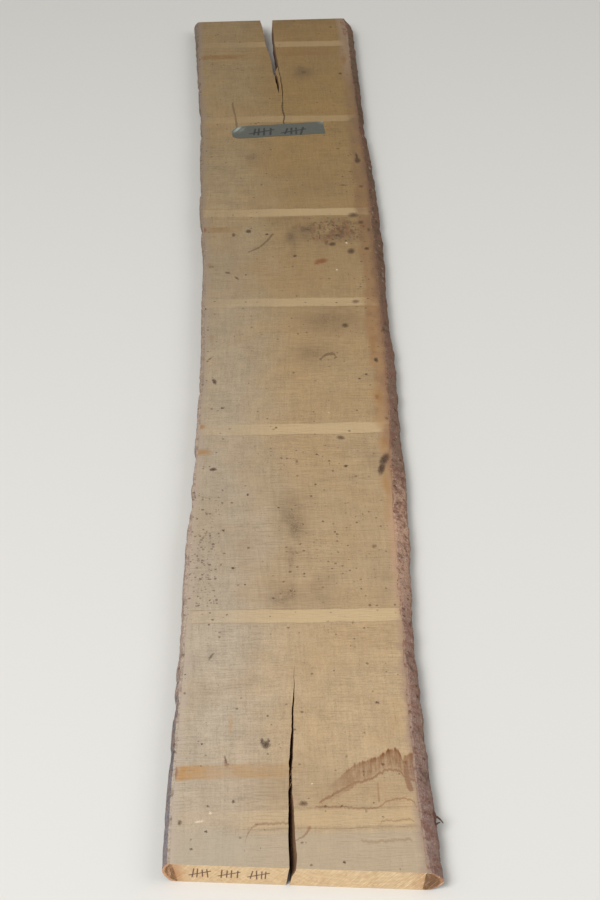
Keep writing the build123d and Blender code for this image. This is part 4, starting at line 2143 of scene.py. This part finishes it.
@dataclass
class Studio:
    """Camera, lights and floor. The lamps point at the place that is lit."""

    eye: Point = (0.000834, -2.5353, 1.6821)
    look: Point = (0.0074009, 0.7904177, -0.6125235)
    roll: float = -1.3213
    lens: float = 68.8
    lit: Point = (0.0, -0.2, 0.0)
    floor_reach: float = 12000.0
    floor_colour: Colour = srgb(222, 220, 215)

    def add_camera(self) -> None:
        """Put the camera beyond the near end, at eye height, looking down the board."""
        camera = bpy.data.objects.new("camera", bpy.data.cameras.new("camera"))
        camera.data.lens = self.lens
        camera.data.sensor_width = 36.0
        camera.data.sensor_fit = "AUTO"
        ahead = Vector(self.look).normalized()
        level = ahead.cross(Vector((0, 0, 1))).normalized()
        above = level.cross(ahead)
        turn = math.radians(self.roll)
        right = math.cos(turn) * level + math.sin(turn) * above
        up = math.cos(turn) * above - math.sin(turn) * level
        axes = Matrix((right, up, -ahead)).transposed()
        camera.matrix_world = Matrix.Translation(self.eye) @ axes.to_4x4()
        bpy.context.scene.collection.objects.link(camera)
        bpy.context.scene.camera = camera

    def add_lights(self) -> None:
        """Add a large soft lamp above the camera and to its left, and a weaker one to its right."""
        for name, power, size, spot in (
            ("key", 270.0, 3.0, (-2.4, -3.6, 4.6)),
            ("fill", 60.0, 3.0, (3.6, -1.0, 3.6)),
        ):
            data = bpy.data.lights.new(name, "AREA")
            data.energy, data.size = power, size
            lamp = bpy.data.objects.new(name, data)
            aim = (Vector(self.lit) - Vector(spot)).to_track_quat("-Z", "Y")
            lamp.matrix_world = Matrix.Translation(spot) @ aim.to_matrix().to_4x4()
            bpy.context.scene.collection.objects.link(lamp)

    def add_world(self) -> None:
        """Light the scene from all round with grey, which the camera and reflections see as pale."""
        world = bpy.data.worlds.new("studio")
        world.use_nodes = True
        bpy.context.scene.world = world
        graph = Graph(world.node_tree)
        background = world.node_tree.nodes["Background"]
        rays = graph.node("LightPath")
        seen = graph.math("MAXIMUM", rays.outputs["Is Camera Ray"], rays.outputs["Is Glossy Ray"])
        seen = graph.math("MAXIMUM", seen, rays.outputs["Is Transmission Ray"])
        graph.feed(background.inputs["Color"], (0.86, 0.86, 0.85))
        graph.feed(background.inputs["Strength"], graph.math("MULTIPLY_ADD", seen, 0.55, 0.4))

    def add_floor(self) -> None:
        """Lay a wide, flat, pale floor."""
        steps = np.linspace(-self.floor_reach, self.floor_reach, 3)
        x, y = np.meshgrid(steps, steps, indexing="ij")
        points = np.stack([x, y, np.zeros_like(x)], -1).reshape(-1, 3)
        material, _, surface = start_material("Floor")
        surface.inputs["Base Color"].default_value = (*self.floor_colour, 1.0)
        surface.inputs["Roughness"].default_value = 0.9
        floor = make_piece("floor", points, quads(np.arange(9).reshape(3, 3), False), [material])

    def build(self) -> None:
        """Set up the camera, the lights, the world and the floor."""
        self.add_camera()
        self.add_lights()
        self.add_world()
        self.add_floor()
        bpy.context.scene.view_settings.view_transform = "Standard"


def main() -> None:
    """Build the studio, the board, its bark and its tape, and hang them on the frame."""
    logging.basicConfig(level=logging.INFO, format="%(message)s")
    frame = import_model()
    Studio().build()
    effects = Effects()
    shape = BoardShape.from_node(frame["nodes"]["plank"])
    bark = {side: finish.material(effects) for side, finish in BARKS.items()}
    wooden = [SawnBoard(shape, effects).build()]
    for side, colours in BARK_ENDS.items():
        end = EndGrainFinish(f"Bark end {side.name.lower()}", *colours).material(effects)
        wooden.append(BarkEdge(shape, side).build(bark[side], end))
    torn = SplitFinish("Torn bark", srgb(92, 62, 48), srgb(50, 36, 30)).material(effects)
    wooden.append(Shreds("bark_shreds", BARK_SHREDS).build(torn))
    fibre = SplitFinish("Torn fibres").material(effects)
    wooden.append(Shreds("split_fibres", SPLIT_FIBRES).build(fibre))
    for piece in wooden:
        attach(piece, "root")
        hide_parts("plank")
    tape = TapeStrip().build(effects, shape.thickness)
    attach(tape, "root")
    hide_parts("tape_strip")


if __name__ == "__main__":
    main()
